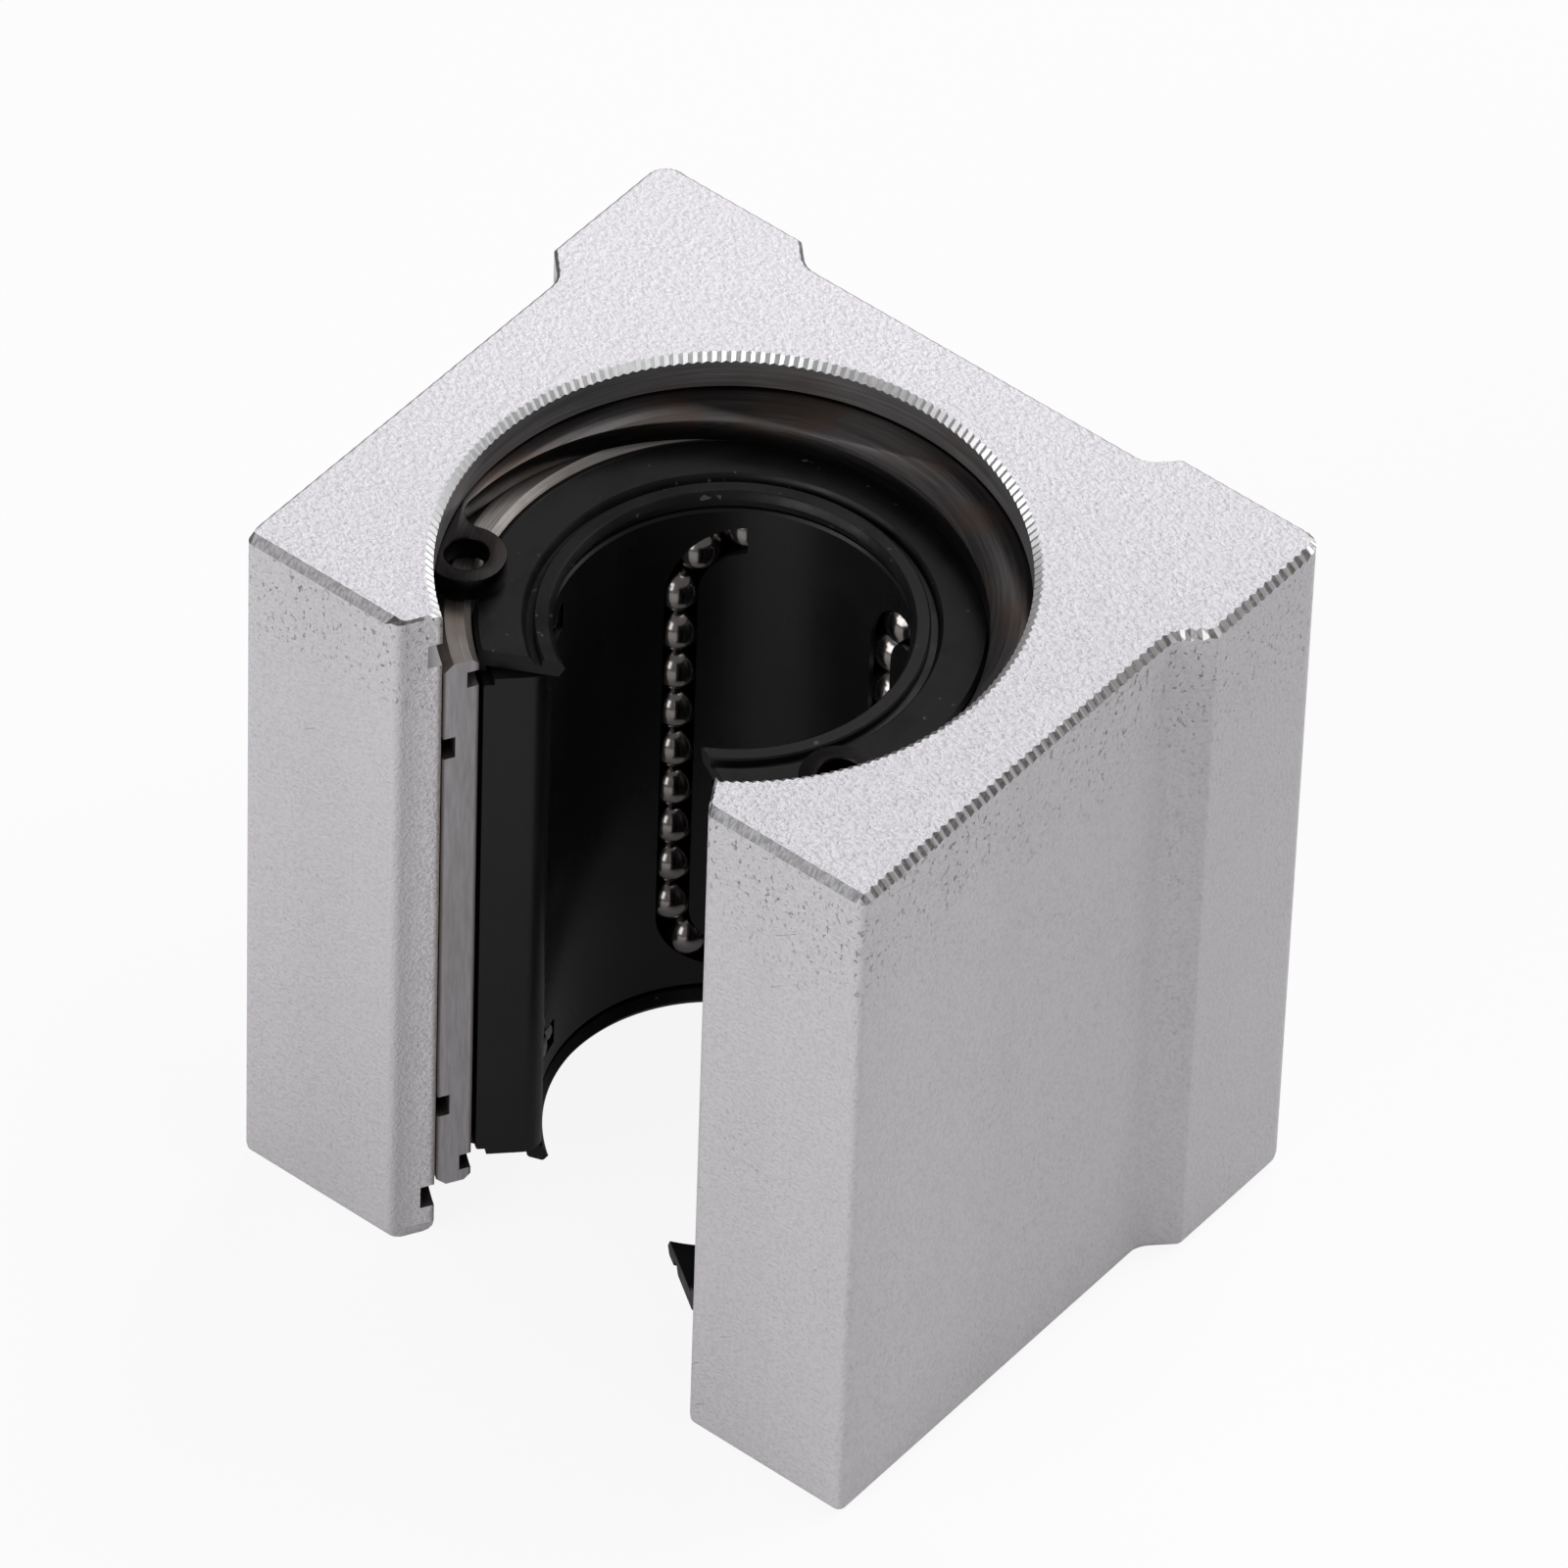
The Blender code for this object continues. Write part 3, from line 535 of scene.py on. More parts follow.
screw_hole = [
    (0, bore_r - 2 * mm),
    (screw_hole_r, bore_r - 2 * mm),
    (screw_hole_r, pad_x),
    (0, pad_x),
]
groove_meshes = [
    turned("groove_top", upper_groove, *block_finishes, finish=BORE),
    turned("groove_low", lower_groove, *block_finishes, finish=BORE),
]
screw_hole_mesh = turned("screw_hole", screw_hole, *block_finishes, steps=48, finish=BORE)
block_cuts = [(mesh, at_middle) for mesh in groove_meshes]
block_cuts += [(tapped_mesh, place) for place in hole_places]
block_cuts.append((screw_hole_mesh, at_middle @ towards_left))
carve(block, [("DIFFERENCE", mesh, place) for mesh, place in block_cuts])


def add_threads(obj, places, root_r, crest_r, pitch, bottom, top, finish=0):
    """Adds a helical ridge at each place: the thread that a tap leaves in a hole, or a die on a rod."""
    steps = 28
    shape = [(root_r, -0.44), (crest_r, -0.08), (crest_r, 0.08), (root_r, 0.44)]
    bm = bmesh.new()
    bm.from_mesh(obj.data)
    for place in places:
        strips = []
        for k in range(round((top - bottom) / pitch * steps) + 1):
            a = 2 * math.pi * k / steps
            height = bottom + pitch * k / steps
            strips.append([
                bm.verts.new(place @ Vector((r * math.cos(a), r * math.sin(a), height + pitch * offset)))
                for r, offset in shape
            ])
        for lower, upper in zip(strips, strips[1:]):
            for i in range(len(shape)):
                j = (i + 1) % len(shape)
                bm.faces.new((lower[i], lower[j], upper[j], upper[i])).material_index = finish
        for end in (strips[0], strips[-1]):
            bm.faces.new(end).material_index = finish
    bm.to_mesh(obj.data)
    bm.free()


own_hole_places = [at_middle.inverted() @ place for place in hole_places]
add_threads(
    block, own_hole_places, thread_r + 0.04 * mm, tap_drill_r, thread_pitch, -11 * mm, -1.1 * mm, finish=BORE
)
block.data.set_sharp_from_angle(angle=crisp_angle)
settle(block, "housing", "block_aluminium", "block_housing")

# ---------------------------------------------------------------------------
# Sleeve: a bearing-steel tube, hardened and ground, sawn open for the shaft's support. Inside it
# carries a raceway behind each loaded row, relief for the returning balls and the seals' grooves.
# ---------------------------------------------------------------------------
half_sleeve = (sleeve_high.z - sleeve_low.z) / 2
sleeve_wall = 2.1 * mm
sleeve_bore_r = sleeve_r - sleeve_wall
shaft_r = 10 * mm
ball_d = 3.175 * mm
ball_r = ball_d / 2
ball_to_shaft = 0.01 * mm
row_r = shaft_r + ball_to_shaft + ball_r
return_lift = 1.9 * mm
return_r = row_r + return_lift
return_lag = math.radians(-36)
circuit_angles = (216, 144, 72, 0)
row_count = 9
turn_count = 3
string_gap = 0.12 * mm  # from the last ball of a row to the first of the turn
loaded_point = Vector((row_r, 0))
return_point = return_r * Vector((math.cos(return_lag), math.sin(return_lag)))
across = return_point - loaded_point
turn_r = across.length / 2
pitch = 0.983 * ball_d  # as in the solids, where neighbours meet on a small flat
turn_step = 2 * math.asin(pitch / 2 / turn_r)
first_turn_angle = math.pi / 2 - (turn_count - 1) / 2 * turn_step
row_end = 2 * turn_r * math.asin((ball_d + string_gap) / 2 / turn_r) - first_turn_angle * turn_r
straight_length = (row_count - 1) * pitch + 2 * row_end
straight_end = straight_length / 2
race_half = 1.5 * mm
reach = 30 * mm  # how far a cutting tool stands past everything it cuts


def circuit_frame(angle):
    """A racetrack's plane: X from the loaded to the return row, Y outwards, Z along the bore."""
    middle = Matrix.Translation((*(loaded_point + return_point) / 2, 0))
    twist = Matrix.Rotation(math.atan2(across.y, across.x), 4, "Z")
    return at_middle @ Matrix.Rotation(math.radians(angle), 4, "Z") @ middle @ twist


def racetrack(channel, steps=24):
    """A channel's (sideways, outwards) points, carried once round the racetrack."""
    rings = []
    for sense in (1, -1):
        for i in range(steps + 1):
            a = math.pi * i / steps
            side = Vector((-sense * math.cos(a), 0, sense * math.sin(a)))
            centre = side * turn_r + Vector((0, 0, sense * straight_end))
            rings.append([centre + side * s + Vector((0, out, 0)) for s, out in channel])
    return rings


def prism(name, outline, bottom, top, *finishes, finish=0):
    bm = bmesh.new()
    low, high = skin(bm, [[(*p, z) for p in outline] for z in (bottom, top)], finish=finish)
    for end in (low, high):
        bm.faces.new(end).material_index = finish
    return finished(name, bm, *finishes)


def slot_wedge(name, half, radius, degrees, *finishes, finish=0):
    """A wedge that opens a slot of this angle, with its half width where it meets a bore of this radius."""
    slope = math.tan(math.radians(degrees / 2))
    apex = half / slope - math.sqrt(radius**2 - half**2)
    outline = [
        Vector((0, apex)),
        Vector((-reach * slope, apex - reach)),
        Vector((reach * slope, apex - reach)),
    ]
    return prism(name, outline, -reach, reach, *finishes, finish=finish)


def ground_steel():
    """Ground right round: fine rings, a brown oil film and a dull sheen."""
    finish = Finish("ground_steel", 0.9, 0.3)
    radius, height, turns = finish.round_the_bore()
    rings = finish.noise(1.0, 3.0, 0.6, place=finish.point(turns * 10, height * 8000, radius * 8000))
    film = finish.noise(240, 3.0, 0.6)
    finish.bump(rings, 0.015 * mm, 0.35)
    base = finish.mixed(rings.between(0.3, 0.7), (0.15, 0.14, 0.135), (0.25, 0.235, 0.225))
    base = finish.mixed(film.between(0.42, 0.75), base, (0.15, 0.12, 0.10))
    return finish.show(Base_Color=base, Roughness=0.25 + 0.18 * film)


def sawn_steel():
    """The slot's walls: cut lengthways with a fine wheel, tarnished brown in soft patches, with painted
    shade along both rims.
    """
    finish = Finish("sawn_steel", 0.75, 0.4)
    strokes = finish.noise(1.0, 3.0, 0.65, stretch=(5200, 5200, 420))
    patches = finish.noise(1.0, 3.0, 0.6, stretch=(500, 500, 120))
    finish.bump(strokes, 0.02 * mm, 0.45)
    base = finish.mixed(strokes.between(0.3, 0.7), (0.36, 0.345, 0.355), (0.46, 0.445, 0.46))
    base = finish.mixed(0.4 * patches.between(0.5, 0.8), base, (0.30, 0.26, 0.24))
    # Painted shade: the cut face is darkened along both rims, in the gaps against the block's bore and the
    # cage.
    radius = finish.round_the_bore()[0]
    inner_painted_shade = radius.between(sleeve_bore_r + 0.22 * mm, sleeve_bore_r)
    painted_shade_rims = radius.between(sleeve_r - 0.22 * mm, sleeve_r) + inner_painted_shade
    base = finish.mixed(0.85 * painted_shade_rims, base, (0.075, 0.05, 0.04))
    return finish.show(Base_Color=base, Roughness=0.34 + 0.2 * strokes)


def race_steel():
    """The hardened tracks that the balls polish."""
    finish = Finish("race_steel", 1.0, 0.16)
    lines = finish.noise(1.0, 2.0, 0.5, stretch=(6000, 6000, 60))
    base = finish.mixed(lines, (0.42, 0.41, 0.41), (0.58, 0.57, 0.57))
    return finish.show(Base_Color=base, Roughness=0.1 + 0.15 * lines)


break_edge = 0.08 * mm
groove_top = 15.25 * mm
groove_low = 13.65 * mm
groove_depth = 0.75 * mm
outer_chamfer = 0.6 * mm
inner_chamfer = 0.4 * mm
seal_groove_top = half_sleeve - 0.9 * mm
seal_groove_low = seal_groove_top - 1.2 * mm
seal_groove_depth = 0.7 * mm
upper_sleeve = [
    (sleeve_r, groove_low - break_edge),
    (sleeve_r - break_edge, groove_low),
    (sleeve_r - groove_depth, groove_low),
    (sleeve_r - groove_depth, groove_top),
    (sleeve_r - break_edge, groove_top),
    (sleeve_r, groove_top + break_edge),
    (sleeve_r, half_sleeve - outer_chamfer),
    (sleeve_r - outer_chamfer, half_sleeve),
    (sleeve_bore_r + inner_chamfer, half_sleeve),
    (sleeve_bore_r, half_sleeve - inner_chamfer),
    (sleeve_bore_r, seal_groove_top),
    (sleeve_bore_r + seal_groove_depth, seal_groove_top),
    (sleeve_bore_r + seal_groove_depth, seal_groove_low),
    (sleeve_bore_r, seal_groove_low),
]
sleeve_profile = upper_sleeve + [(r, -z) for r, z in reversed(upper_sleeve)]
sleeve_finishes = [ground_steel(), sawn_steel(), race_steel()]
GROUND, SAWN, RACE = range(3)
sleeve = placed("outer_sleeve_shell", turned("sleeve", sleeve_profile, *sleeve_finishes), at_middle)

channel_clearance = 0.2 * mm
race_clearance = 0.03 * mm
channel_r = ball_r + channel_clearance
relief_section = [tuple(p) for p in arc((0, 0), channel_r, 0, 345, 23)]
race_top = sleeve_bore_r - row_r + 1.1 * mm
race_outline = [Vector((-race_half, 0.9 * mm)), Vector((-race_half + 0.1 * mm, 0.8 * mm))]
race_outline += arc((0, 0), ball_r + race_clearance, 143, 37, 24)
race_outline += [Vector((race_half - 0.1 * mm, 0.8 * mm)), Vector((race_half, 0.9 * mm))]
race_outline += [Vector((race_half, race_top)), Vector((-race_half, race_top))]
sleeve_slot_half = 9.65 * mm
sleeve_slot = slot_wedge("sleeve_slot", sleeve_slot_half, bore_r, 60, *sleeve_finishes, finish=SAWN)
sleeve_steps = [("DIFFERENCE", sleeve_slot, at_middle)]
for angle in circuit_angles:
    place = circuit_frame(angle)
    bm = bmesh.new()
    skin(bm, racetrack(relief_section), closed=True, finish=GROUND)
    sleeve_steps.append(("DIFFERENCE", finished("relief", bm, *sleeve_finishes), place))
    race = prism("race", race_outline, -straight_end, straight_end, *sleeve_finishes, finish=RACE)
    sleeve_steps.append(("UNION", race, place @ Matrix.Translation((-turn_r, 0, 0))))
seat_r = 1.55 * mm
seat_floor = sleeve_r - 0.7 * mm
screw_seat = [(0, seat_floor), (seat_r, seat_floor), (seat_r, sleeve_r + mm), (0, sleeve_r + mm)]
seat = turned("seat", screw_seat, *sleeve_finishes, steps=32)
sleeve_steps.append(("DIFFERENCE", seat, at_middle @ towards_left))
carve(sleeve, sleeve_steps)
settle(sleeve, "housing", "bearing_steel", "outer_sleeve")

# ---------------------------------------------------------------------------
# Cage: moulded black acetal, a split tube with one racetrack channel for each circuit. The
# channels break through to the bore along the loaded rows, where the balls look out.
# ---------------------------------------------------------------------------
cage_low, cage_high = (Vector(corner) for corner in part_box("ball_cage"))
half_cage = (cage_high.z - cage_low.z) / 2
cage_bore_r = shaft_r + 0.3 * mm
window_half = 1.0 * mm
window_top = -1.18 * mm
window_bottom = -1.62 * mm
cage_r = sleeve_bore_r - 0.3 * mm
cage_slot_half = 5.5 * mm
slot_corner_r = 1.2 * mm
cage_step = 0.6 * mm
cage_step_z = half_cage - 0.45 * mm


def black_acetal():
    """Smooth moulded plastic with a faint grain and a film of oil."""
    finish = Finish("black_acetal", 0.0, 0.3, Specular_IOR_Level=0.2)
    grain = finish.noise(3000, 2.0, 0.5)
    film = finish.noise(180, 3.0, 0.6)
    finish.bump(grain, 0.006 * mm, 0.3)
    base = finish.mixed(film, (0.004, 0.004, 0.0045), (0.008, 0.008, 0.009))
    return finish.show(Base_Color=base, Roughness=0.2 + 0.2 * film)


def cage_slot():
    """The slot's outline, whose inner corners the mould rounds."""
    slant = Vector((1, -1)).normalized()
    into = Vector((1, 1)).normalized()
    lip = Vector((cage_slot_half, -math.sqrt(cage_bore_r**2 - cage_slot_half**2)))
    base = lip + slot_corner_r * into
    along = -base.dot(slant) + math.sqrt(
        base.dot(slant) ** 2 - base.length_squared + (cage_bore_r + slot_corner_r) ** 2
    )
    centre = base + along * slant
    on_bore = -centre.normalized()
    start = math.degrees(math.atan2(on_bore.y, on_bore.x))
    corner = arc(centre, slot_corner_r, start, 225 if start > 0 else -135, 10)
    right = [centre * (cage_bore_r - 0.4 * mm) / centre.length] + corner + [corner[-1] + 20 * mm * slant]
    left = [Vector((-p.x, p.y)) for p in reversed(right)]
    return right + left


cage_upper = [
    (cage_r, half_cage - 0.55 * mm),
    (cage_r - 0.1 * mm, cage_step_z),
    (cage_r - cage_step, cage_step_z),
    (cage_r - cage_step, half_cage),
    (cage_bore_r + 0.15 * mm, half_cage),
    (cage_bore_r, half_cage - 0.15 * mm),
]
cage_profile = cage_upper + [(r, -z) for r, z in reversed(cage_upper)]
acetal = black_acetal()
cage = placed("acetal_cage", turned("cage", cage_profile, acetal), at_middle)
channel_section = [tuple(p) for p in arc((0, 0), channel_r, 180, 216, 5)]
channel_section += [(-window_half, window_top), (-window_half, window_bottom)]
channel_section += [(window_half, window_bottom), (window_half, window_top)]
channel_section += [tuple(p) for p in arc((0, 0), channel_r, 324, 360, 5)]
channel_section += [(channel_r, 2 * channel_r), (-channel_r, 2 * channel_r)]
cage_steps = [("DIFFERENCE", prism("cage_slot", cage_slot(), -reach, reach, acetal), at_middle)]
for angle in circuit_angles:
    bm = bmesh.new()
    skin(bm, racetrack(channel_section), closed=True)
    cage_steps.append(("DIFFERENCE", finished("channel", bm, acetal), circuit_frame(angle)))
carve(cage, cage_steps)
settle(cage, "housing", "cage_plastic", "ball_cage")

# ---------------------------------------------------------------------------
# Balls: 3.175 mm chrome-steel balls, ground and polished, with a trace of oil. Each circuit is
# an endless string: a loaded row, a return row and a half turn at each end.
# ---------------------------------------------------------------------------
def polished_ball():
    finish = Finish("polished_ball", 1.0, 0.08)
    film = finish.noise(500, 2.0, 0.5)
    base = finish.mixed(film, (0.15, 0.14, 0.135), (0.27, 0.25, 0.24))
    return finish.show(Base_Color=base, Roughness=0.13 + 0.08 * film)


def ball_string(name, centres, finish):
    """Whole round balls, one at each centre."""
    bm = bmesh.new()
    for centre in centres:
        bmesh.ops.create_uvsphere(
            bm, u_segments=32, v_segments=16, radius=ball_r, matrix=Matrix.Translation(centre)
        )
    return finished(name, bm, finish)


chrome = polished_ball()
row_centres = [(0, 0, (i - (row_count - 1) / 2) * pitch) for i in range(row_count)]
turn_angles = [first_turn_angle + i * turn_step for i in range(turn_count)]
turn_centres = [(-turn_r * math.cos(a), 0, turn_r * math.sin(a)) for a in turn_angles]
row = ball_string("row", row_centres, chrome)
turn = ball_string("turn", turn_centres, chrome)
upside_down = Matrix.Rotation(math.pi, 4, "Y")
for number, angle in enumerate(circuit_angles, 1):
    for part, mesh, place in (
        ("loaded_row", row, Matrix.Translation((-turn_r, 0, 0))),
        ("return_row", row, Matrix.Translation((turn_r, 0, 0))),
        ("top_turn", turn, Matrix.Translation((0, 0, straight_end))),
        ("bottom_turn", turn, Matrix.Translation((0, 0, -straight_end)) @ upside_down),
    ):
        string = f"circuit_{number}_{part}"
        balls = placed(f"balls_{number}_{part}", mesh, circuit_frame(angle) @ place)
        settle(balls, string, "ball_steel", string)

# ---------------------------------------------------------------------------
# End seals: moulded nitrile rubber, snapped into the sleeve over the cage's ends. A raised lip
# wipes the shaft, with a narrow channel moulded round it.
# ---------------------------------------------------------------------------
lip_r = shaft_r + 0.05 * mm
seal_r = sleeve_bore_r - 0.15 * mm
seal_face = half_sleeve - 0.3 * mm
seal_back = half_sleeve - 1.5 * mm
bead_top = seal_groove_top - 0.15 * mm
bead_low = seal_groove_low + 0.15 * mm
seal_slot_half = 4.9 * mm


def nitrile():
    """Matt black rubber with mould grain, dust specks and a greasy sheen in patches."""
    finish = Finish("nitrile", 0.0, 0.45, Specular_IOR_Level=0.15)
    grain = finish.noise(2600, 3.0, 0.6)
    grease = finish.noise(300, 3.0, 0.6)
    specks = finish.noise(1700, 2.0, 0.5).between(0.70, 0.76)
    finish.bump(grain + 0.5 * grease, 0.02 * mm, 0.4)
    base = finish.mixed(grease, (0.003, 0.003, 0.0034), (0.006, 0.006, 0.0067))
    base = finish.mixed(0.5 * specks, base, (0.10, 0.095, 0.09))
    return finish.show(Base_Color=base, Roughness=grease.between(0.3, 0.7, 0.28, 0.5))


seal_profile = [
    (lip_r, seal_face - 0.5 * mm),
    (lip_r + 0.22 * mm, seal_face - 0.08 * mm),
    (lip_r + 0.32 * mm, seal_face),
    (lip_r + 1.0 * mm, seal_face - 0.02 * mm),
    (lip_r + 1.1 * mm, seal_face - 0.12 * mm),
    (lip_r + 1.12 * mm, seal_face - 0.55 * mm),
    (lip_r + 1.5 * mm, seal_face - 0.58 * mm),
    (lip_r + 1.68 * mm, seal_face - 0.16 * mm),
    (lip_r + 1.8 * mm, seal_face - 0.04 * mm),
    (seal_r - 0.25 * mm, seal_face),
    (seal_r, seal_face - 0.15 * mm),
    (seal_r, bead_top),
    (seal_r + seal_groove_depth, bead_top),
    (seal_r + seal_groove_depth, bead_low),
    (seal_r - 0.45 * mm, bead_low),
    (seal_r - 0.45 * mm, seal_back),
    (lip_r + 0.3 * mm, seal_back),
]
rubber = nitrile()
seal_mesh = turned("seal", seal_profile, rubber)
seal_slot = slot_wedge("seal_slot", seal_slot_half, lip_r, 124, rubber)
crept = Matrix.Rotation(math.radians(-6), 4, "Z")  # the lower seal has turned a little in its groove
for end, place in (("top", at_middle), ("bottom", at_middle @ crept @ upside_down)):
    seal = placed(f"rubber_seal_{end}", seal_mesh.copy(), place)
    carve(seal, [("DIFFERENCE", seal_slot, place)])
    settle(seal, "housing", "seal_rubber", f"end_seal_{end}")

# ---------------------------------------------------------------------------
# Retaining rings: stamped spring steel, oiled, with two pierced lugs for the pliers. They snap
# into the block's grooves and hold the sleeve endways.
# ---------------------------------------------------------------------------
ring_r = bore_r + 0.75 * mm
ring_thickness = 1.5 * mm
lug_r = 2.3 * mm
lug_angle = math.radians(62)
lug_centre = (ring_r - lug_r) * Vector((-math.sin(lug_angle), -math.cos(lug_angle)))
lug_hole_r = 1.25 * mm
fillet_r = 0.55 * lug_r
ring_inner_centre = Vector((0, -2.7 * mm))
ring_inner_r = 16.05 * mm


def oiled_spring_steel():
    """Ground faces with marks round the ring, blued brown where the oil has dried."""
    finish = Finish("oiled_spring_steel", 1.0, 0.3)
    radius, height, turns = finish.round_the_bore()
    marks = finish.noise(1.0, 3.0, 0.65, place=finish.point(turns * 12, height * 3000, radius * 5000))
    warm = finish.noise(170, 3.0, 0.6)
    finish.bump(marks, 0.02 * mm, 0.4)
    base = finish.mixed(marks.between(0.3, 0.7), (0.028, 0.026, 0.026), (0.062, 0.058, 0.058))
    base = finish.mixed(warm.between(0.45, 0.72), base, (0.05, 0.036, 0.029))
    # The ring is darkened towards the front, round the lugs.
    front_darkening = finish.axes()[1].between(-2 * mm, -6.5 * mm)
    base = finish.mixed(0.85 * front_darkening, base, (0.008, 0.007, 0.007))
    return finish.show(Base_Color=base, Roughness=0.24 + 0.22 * warm)


def crossing(first, first_r, second, second_r):
    """Where two circles cross, on the left of the way from the first centre to the second."""
    way = second - first
    along = (way.length_squared + first_r**2 - second_r**2) / (2 * way.length)
    off = math.sqrt(first_r**2 - along**2)
    ahead = way.normalized()
    return first + ahead * along + Vector((-ahead.y, ahead.x)) * off


def angle_to(start, end):
    way = end - start
    return math.degrees(math.atan2(way.y, way.x)) % 360


def ring_outline():
    """Round the outer edge to a lug, round the lug, and back along the inner edge, then mirrored."""
    fillet = crossing(lug_centre, lug_r + fillet_r, ring_inner_centre, ring_inner_r - fillet_r)
    at_lug = 270 - math.degrees(lug_angle)
    at_fillet = angle_to(ring_inner_centre, fillet)
    left = arc((0, 0), ring_r, 90, at_lug, 90)
    left += arc(lug_centre, lug_r, at_lug, angle_to(lug_centre, fillet) + 360, 28)[1:]
    left += arc(fillet, fillet_r, angle_to(fillet, lug_centre), at_fillet, 8)[1:]
    left += arc(ring_inner_centre, ring_inner_r, at_fillet, 90, 90)[1:]
    return left + [Vector((-p.x, p.y)) for p in reversed(left[1:-1])]


def offset(outline, distance):
    """The outline moved inwards by a distance."""
    moved = []
    for i, here in enumerate(outline):
        back = (here - outline[i - 1]).normalized()
        ahead = (outline[(i + 1) % len(outline)] - here).normalized()
        tangent = (back + ahead).normalized()
        moved.append(here + distance * Vector((-tangent.y, tangent.x)))
    return moved


spring = oiled_spring_steel()
outline = ring_outline()
rounding = 0.14 * mm
levels = [(0, rounding), (rounding * 0.3, rounding * 0.3), (rounding, 0)]
rings = [(offset(outline, inwards), z) for z, inwards in levels]
rings += [(points, ring_thickness - z) for points, z in reversed(rings)]
bm = bmesh.new()
made = skin(bm, [[(*p, z) for p in points] for points, z in rings])
bm.faces.new(made[0])
bm.faces.new(made[-1])
ring_mesh = finished("retaining_ring", bm, spring)
hole_profile = [
    (0, -mm),
    (lug_hole_r + mm, -mm),
    (lug_hole_r, 0.08 * mm),
    (lug_hole_r, ring_thickness - 0.08 * mm),
    (lug_hole_r + mm, ring_thickness + mm),
    (0, ring_thickness + mm),
]
ring_base = half_length - 3.9 * mm
lug_hole = turned("lug_hole", hole_profile, spring, steps=40)
for end, low in (("top", ring_base), ("bottom", -ring_base - ring_thickness)):
    place = at_middle @ Matrix.Translation((0, 0, low))
    ring = placed(f"retaining_ring_{end}", ring_mesh.copy(), place)
    holes = [place @ Matrix.Translation((x, lug_centre.y, 0)) for x in (lug_centre.x, -lug_centre.x)]
    carve(ring, [("DIFFERENCE", lug_hole, hole) for hole in holes])
    settle(ring, "housing", "spring_steel", f"circlip_{end}")

# ---------------------------------------------------------------------------
# Set screw: a black M5 grub screw with a hexagon socket, screwed through the side wall until its
# dog point stops the sleeve from turning.
# ---------------------------------------------------------------------------
screw_r = 2.5 * mm
screw_head = pad_x - side_step - 0.6 * mm
point_end = sleeve_r - 0.4 * mm
shoulder = bore_r + 0.3 * mm
dog_r = 1.25 * mm
shank_r = screw_r - 0.45 * mm
socket_half = 1.25 * mm  # half its width across the flats
socket_floor = screw_head - 2.2 * mm


def black_oxide():
    finish = Finish("black_oxide", 0.9, 0.4)
    wear = finish.noise(900, 3.0, 0.6)
    finish.bump(wear, 0.02 * mm, 0.3)
    base = finish.mixed(wear.between(0.45, 0.8), (0.03, 0.03, 0.034), (0.09, 0.088, 0.086))
    return finish.show(Base_Color=base, Roughness=0.3 + 0.2 * wear)


oxide = black_oxide()
screw_profile = [
    (0, point_end),
    (dog_r - 0.1 * mm, point_end),
    (dog_r, point_end + 0.1 * mm),
    (dog_r, shoulder),
    (shank_r, shoulder + 0.8 * mm),
    (shank_r, screw_head - 0.35 * mm),
    (screw_r - 0.75 * mm, screw_head),
    (0, screw_head),
]
screw = placed("grub_screw", turned("screw", screw_profile, oxide, steps=48), at_middle @ towards_left)
hexagon = arc((0, 0), socket_half / math.cos(math.pi / 6), 0, 300, 5)
hex_socket = prism("socket", hexagon, socket_floor, screw_head + mm, oxide)
carve(screw, [("DIFFERENCE", hex_socket, at_middle @ towards_left)])
thread_low = shoulder + 1.1 * mm
thread_top = screw_head - 0.6 * mm
screw_pitch = 0.8 * mm
add_threads(screw, [Matrix.Identity(4)], screw_r - 0.5 * mm, screw_r, screw_pitch, thread_low, thread_top)
settle(screw, "housing", "blackened_steel", "set_screw")

# ---------------------------------------------------------------------------
# Table, light and camera: a white sweep under a faint sky, with a large softbox behind the block,
# two in front of it and a small one overhead. A long lens looks down into the bore.
# ---------------------------------------------------------------------------
foot = Vector((0, axis_y, block_low.z))
lit_point = Vector((0, 0, 0.03))


class Sky(Finish):
    """The faint light from all round, which is built as a finish is."""

    def __init__(self, name, colour, strength):
        self.world = bpy.data.worlds.new(name)
        self.world.use_nodes = True
        self.tree = self.world.node_tree
        self.shader = self.tree.nodes["Background"]
        self.set(self.shader, {"Color": colour, "Strength": strength})


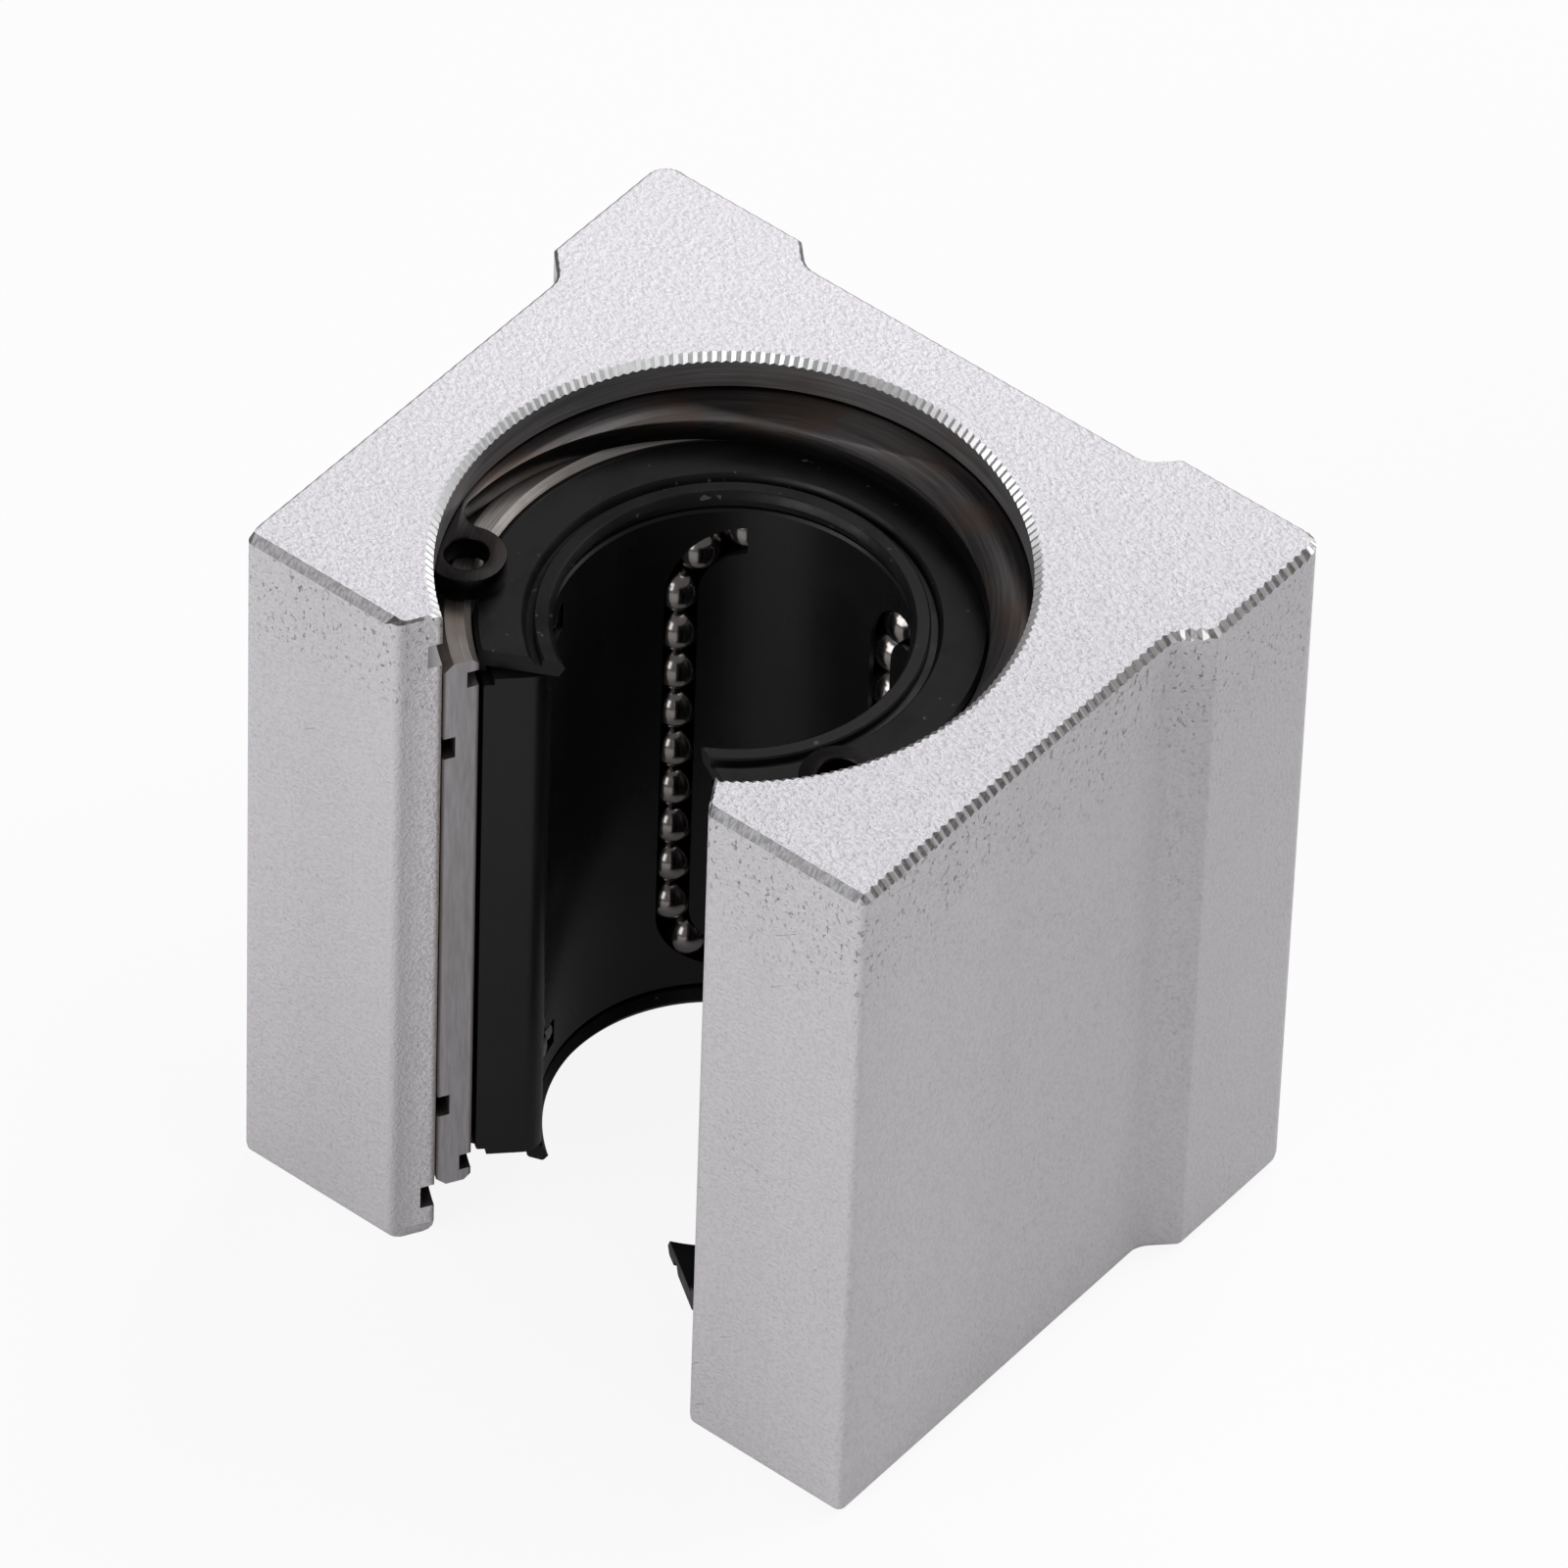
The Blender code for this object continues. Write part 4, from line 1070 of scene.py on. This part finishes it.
def seen_white(finish, white, output, to_camera, to_mirror):
    """Mixes plain white over a finish, by one share for camera rays and one for mirrored rays."""
    from_camera = finish.node("ShaderNodeLightPath", {}, {}, "Is Camera Ray")
    mirrored = from_camera.beside("Is Glossy Ray").math("MAXIMUM", from_camera.beside("Is Transmission Ray"))
    share = (from_camera * to_camera).math("MAXIMUM", mirrored * to_mirror)
    plain = finish.node(white, {}, {"Color": (1.0, 1.0, 1.0), "Strength": 1.0})
    own = Value(finish, finish.shader.outputs[0])
    mix = finish.node("ShaderNodeMixShader", {}, {0: share, 1: own, 2: plain})
    finish.set(finish.tree.nodes[output], {"Surface": mix})


def aimed(place, aim):
    """Standing at one point and looking at another."""
    place = Vector(place)
    return Matrix.Translation(place) @ (aim - place).to_track_quat("-Z", "Y").to_matrix().to_4x4()


def softbox(name, place, width, height, power):
    lamp = bpy.data.lights.new(name, "AREA")
    lamp.shape = "RECTANGLE"
    lamp.size = width
    lamp.size_y = height
    lamp.energy = power
    placed(name, lamp, aimed(place, lit_point))


sweep = Finish("white_sweep", 0.0, 0.9, Base_Color=(0.7, 0.7, 0.7))
seen_white(sweep, "ShaderNodeEmission", "Material Output", 0.9, 0.1)
bm = bmesh.new()
bmesh.ops.create_grid(bm, x_segments=1, y_segments=1, size=3.0)
floor = placed("floor", finished("floor", bm, sweep.material), Matrix.Translation((0, 0, block_low.z)))

sky = Sky("studio", (0.93, 0.93, 0.95), 0.08)
seen_white(sky, "ShaderNodeBackground", "World Output", 1.0, 0.25)
bpy.context.scene.world = sky.world

softbox("behind", (0.13, 0.47, 0.58), 0.8, 0.7, 6.5)
softbox("front", (0.08, -0.85, 0.42), 0.5, 0.5, 2.8)
softbox("front_left", (-0.35, -0.8, 0.4), 0.5, 0.5, 3.7)
softbox("overhead", (0.35, 0.03, 0.9), 0.22, 0.22, 0.8)

camera = bpy.data.cameras.new("camera")
camera.lens = 390.26
camera.sensor_width = 36
camera.clip_end = 10
look_from = foot + Vector((0.41794, -0.53660, 0.71253))
look_at = foot + Vector((0.00252, 0.00199, 0.03272))
roll = Matrix.Rotation(math.radians(2.0251), 4, "Z")
bpy.context.scene.camera = placed("camera", camera, aimed(look_from, look_at) @ roll)
bpy.context.scene.view_settings.view_transform = "Standard"
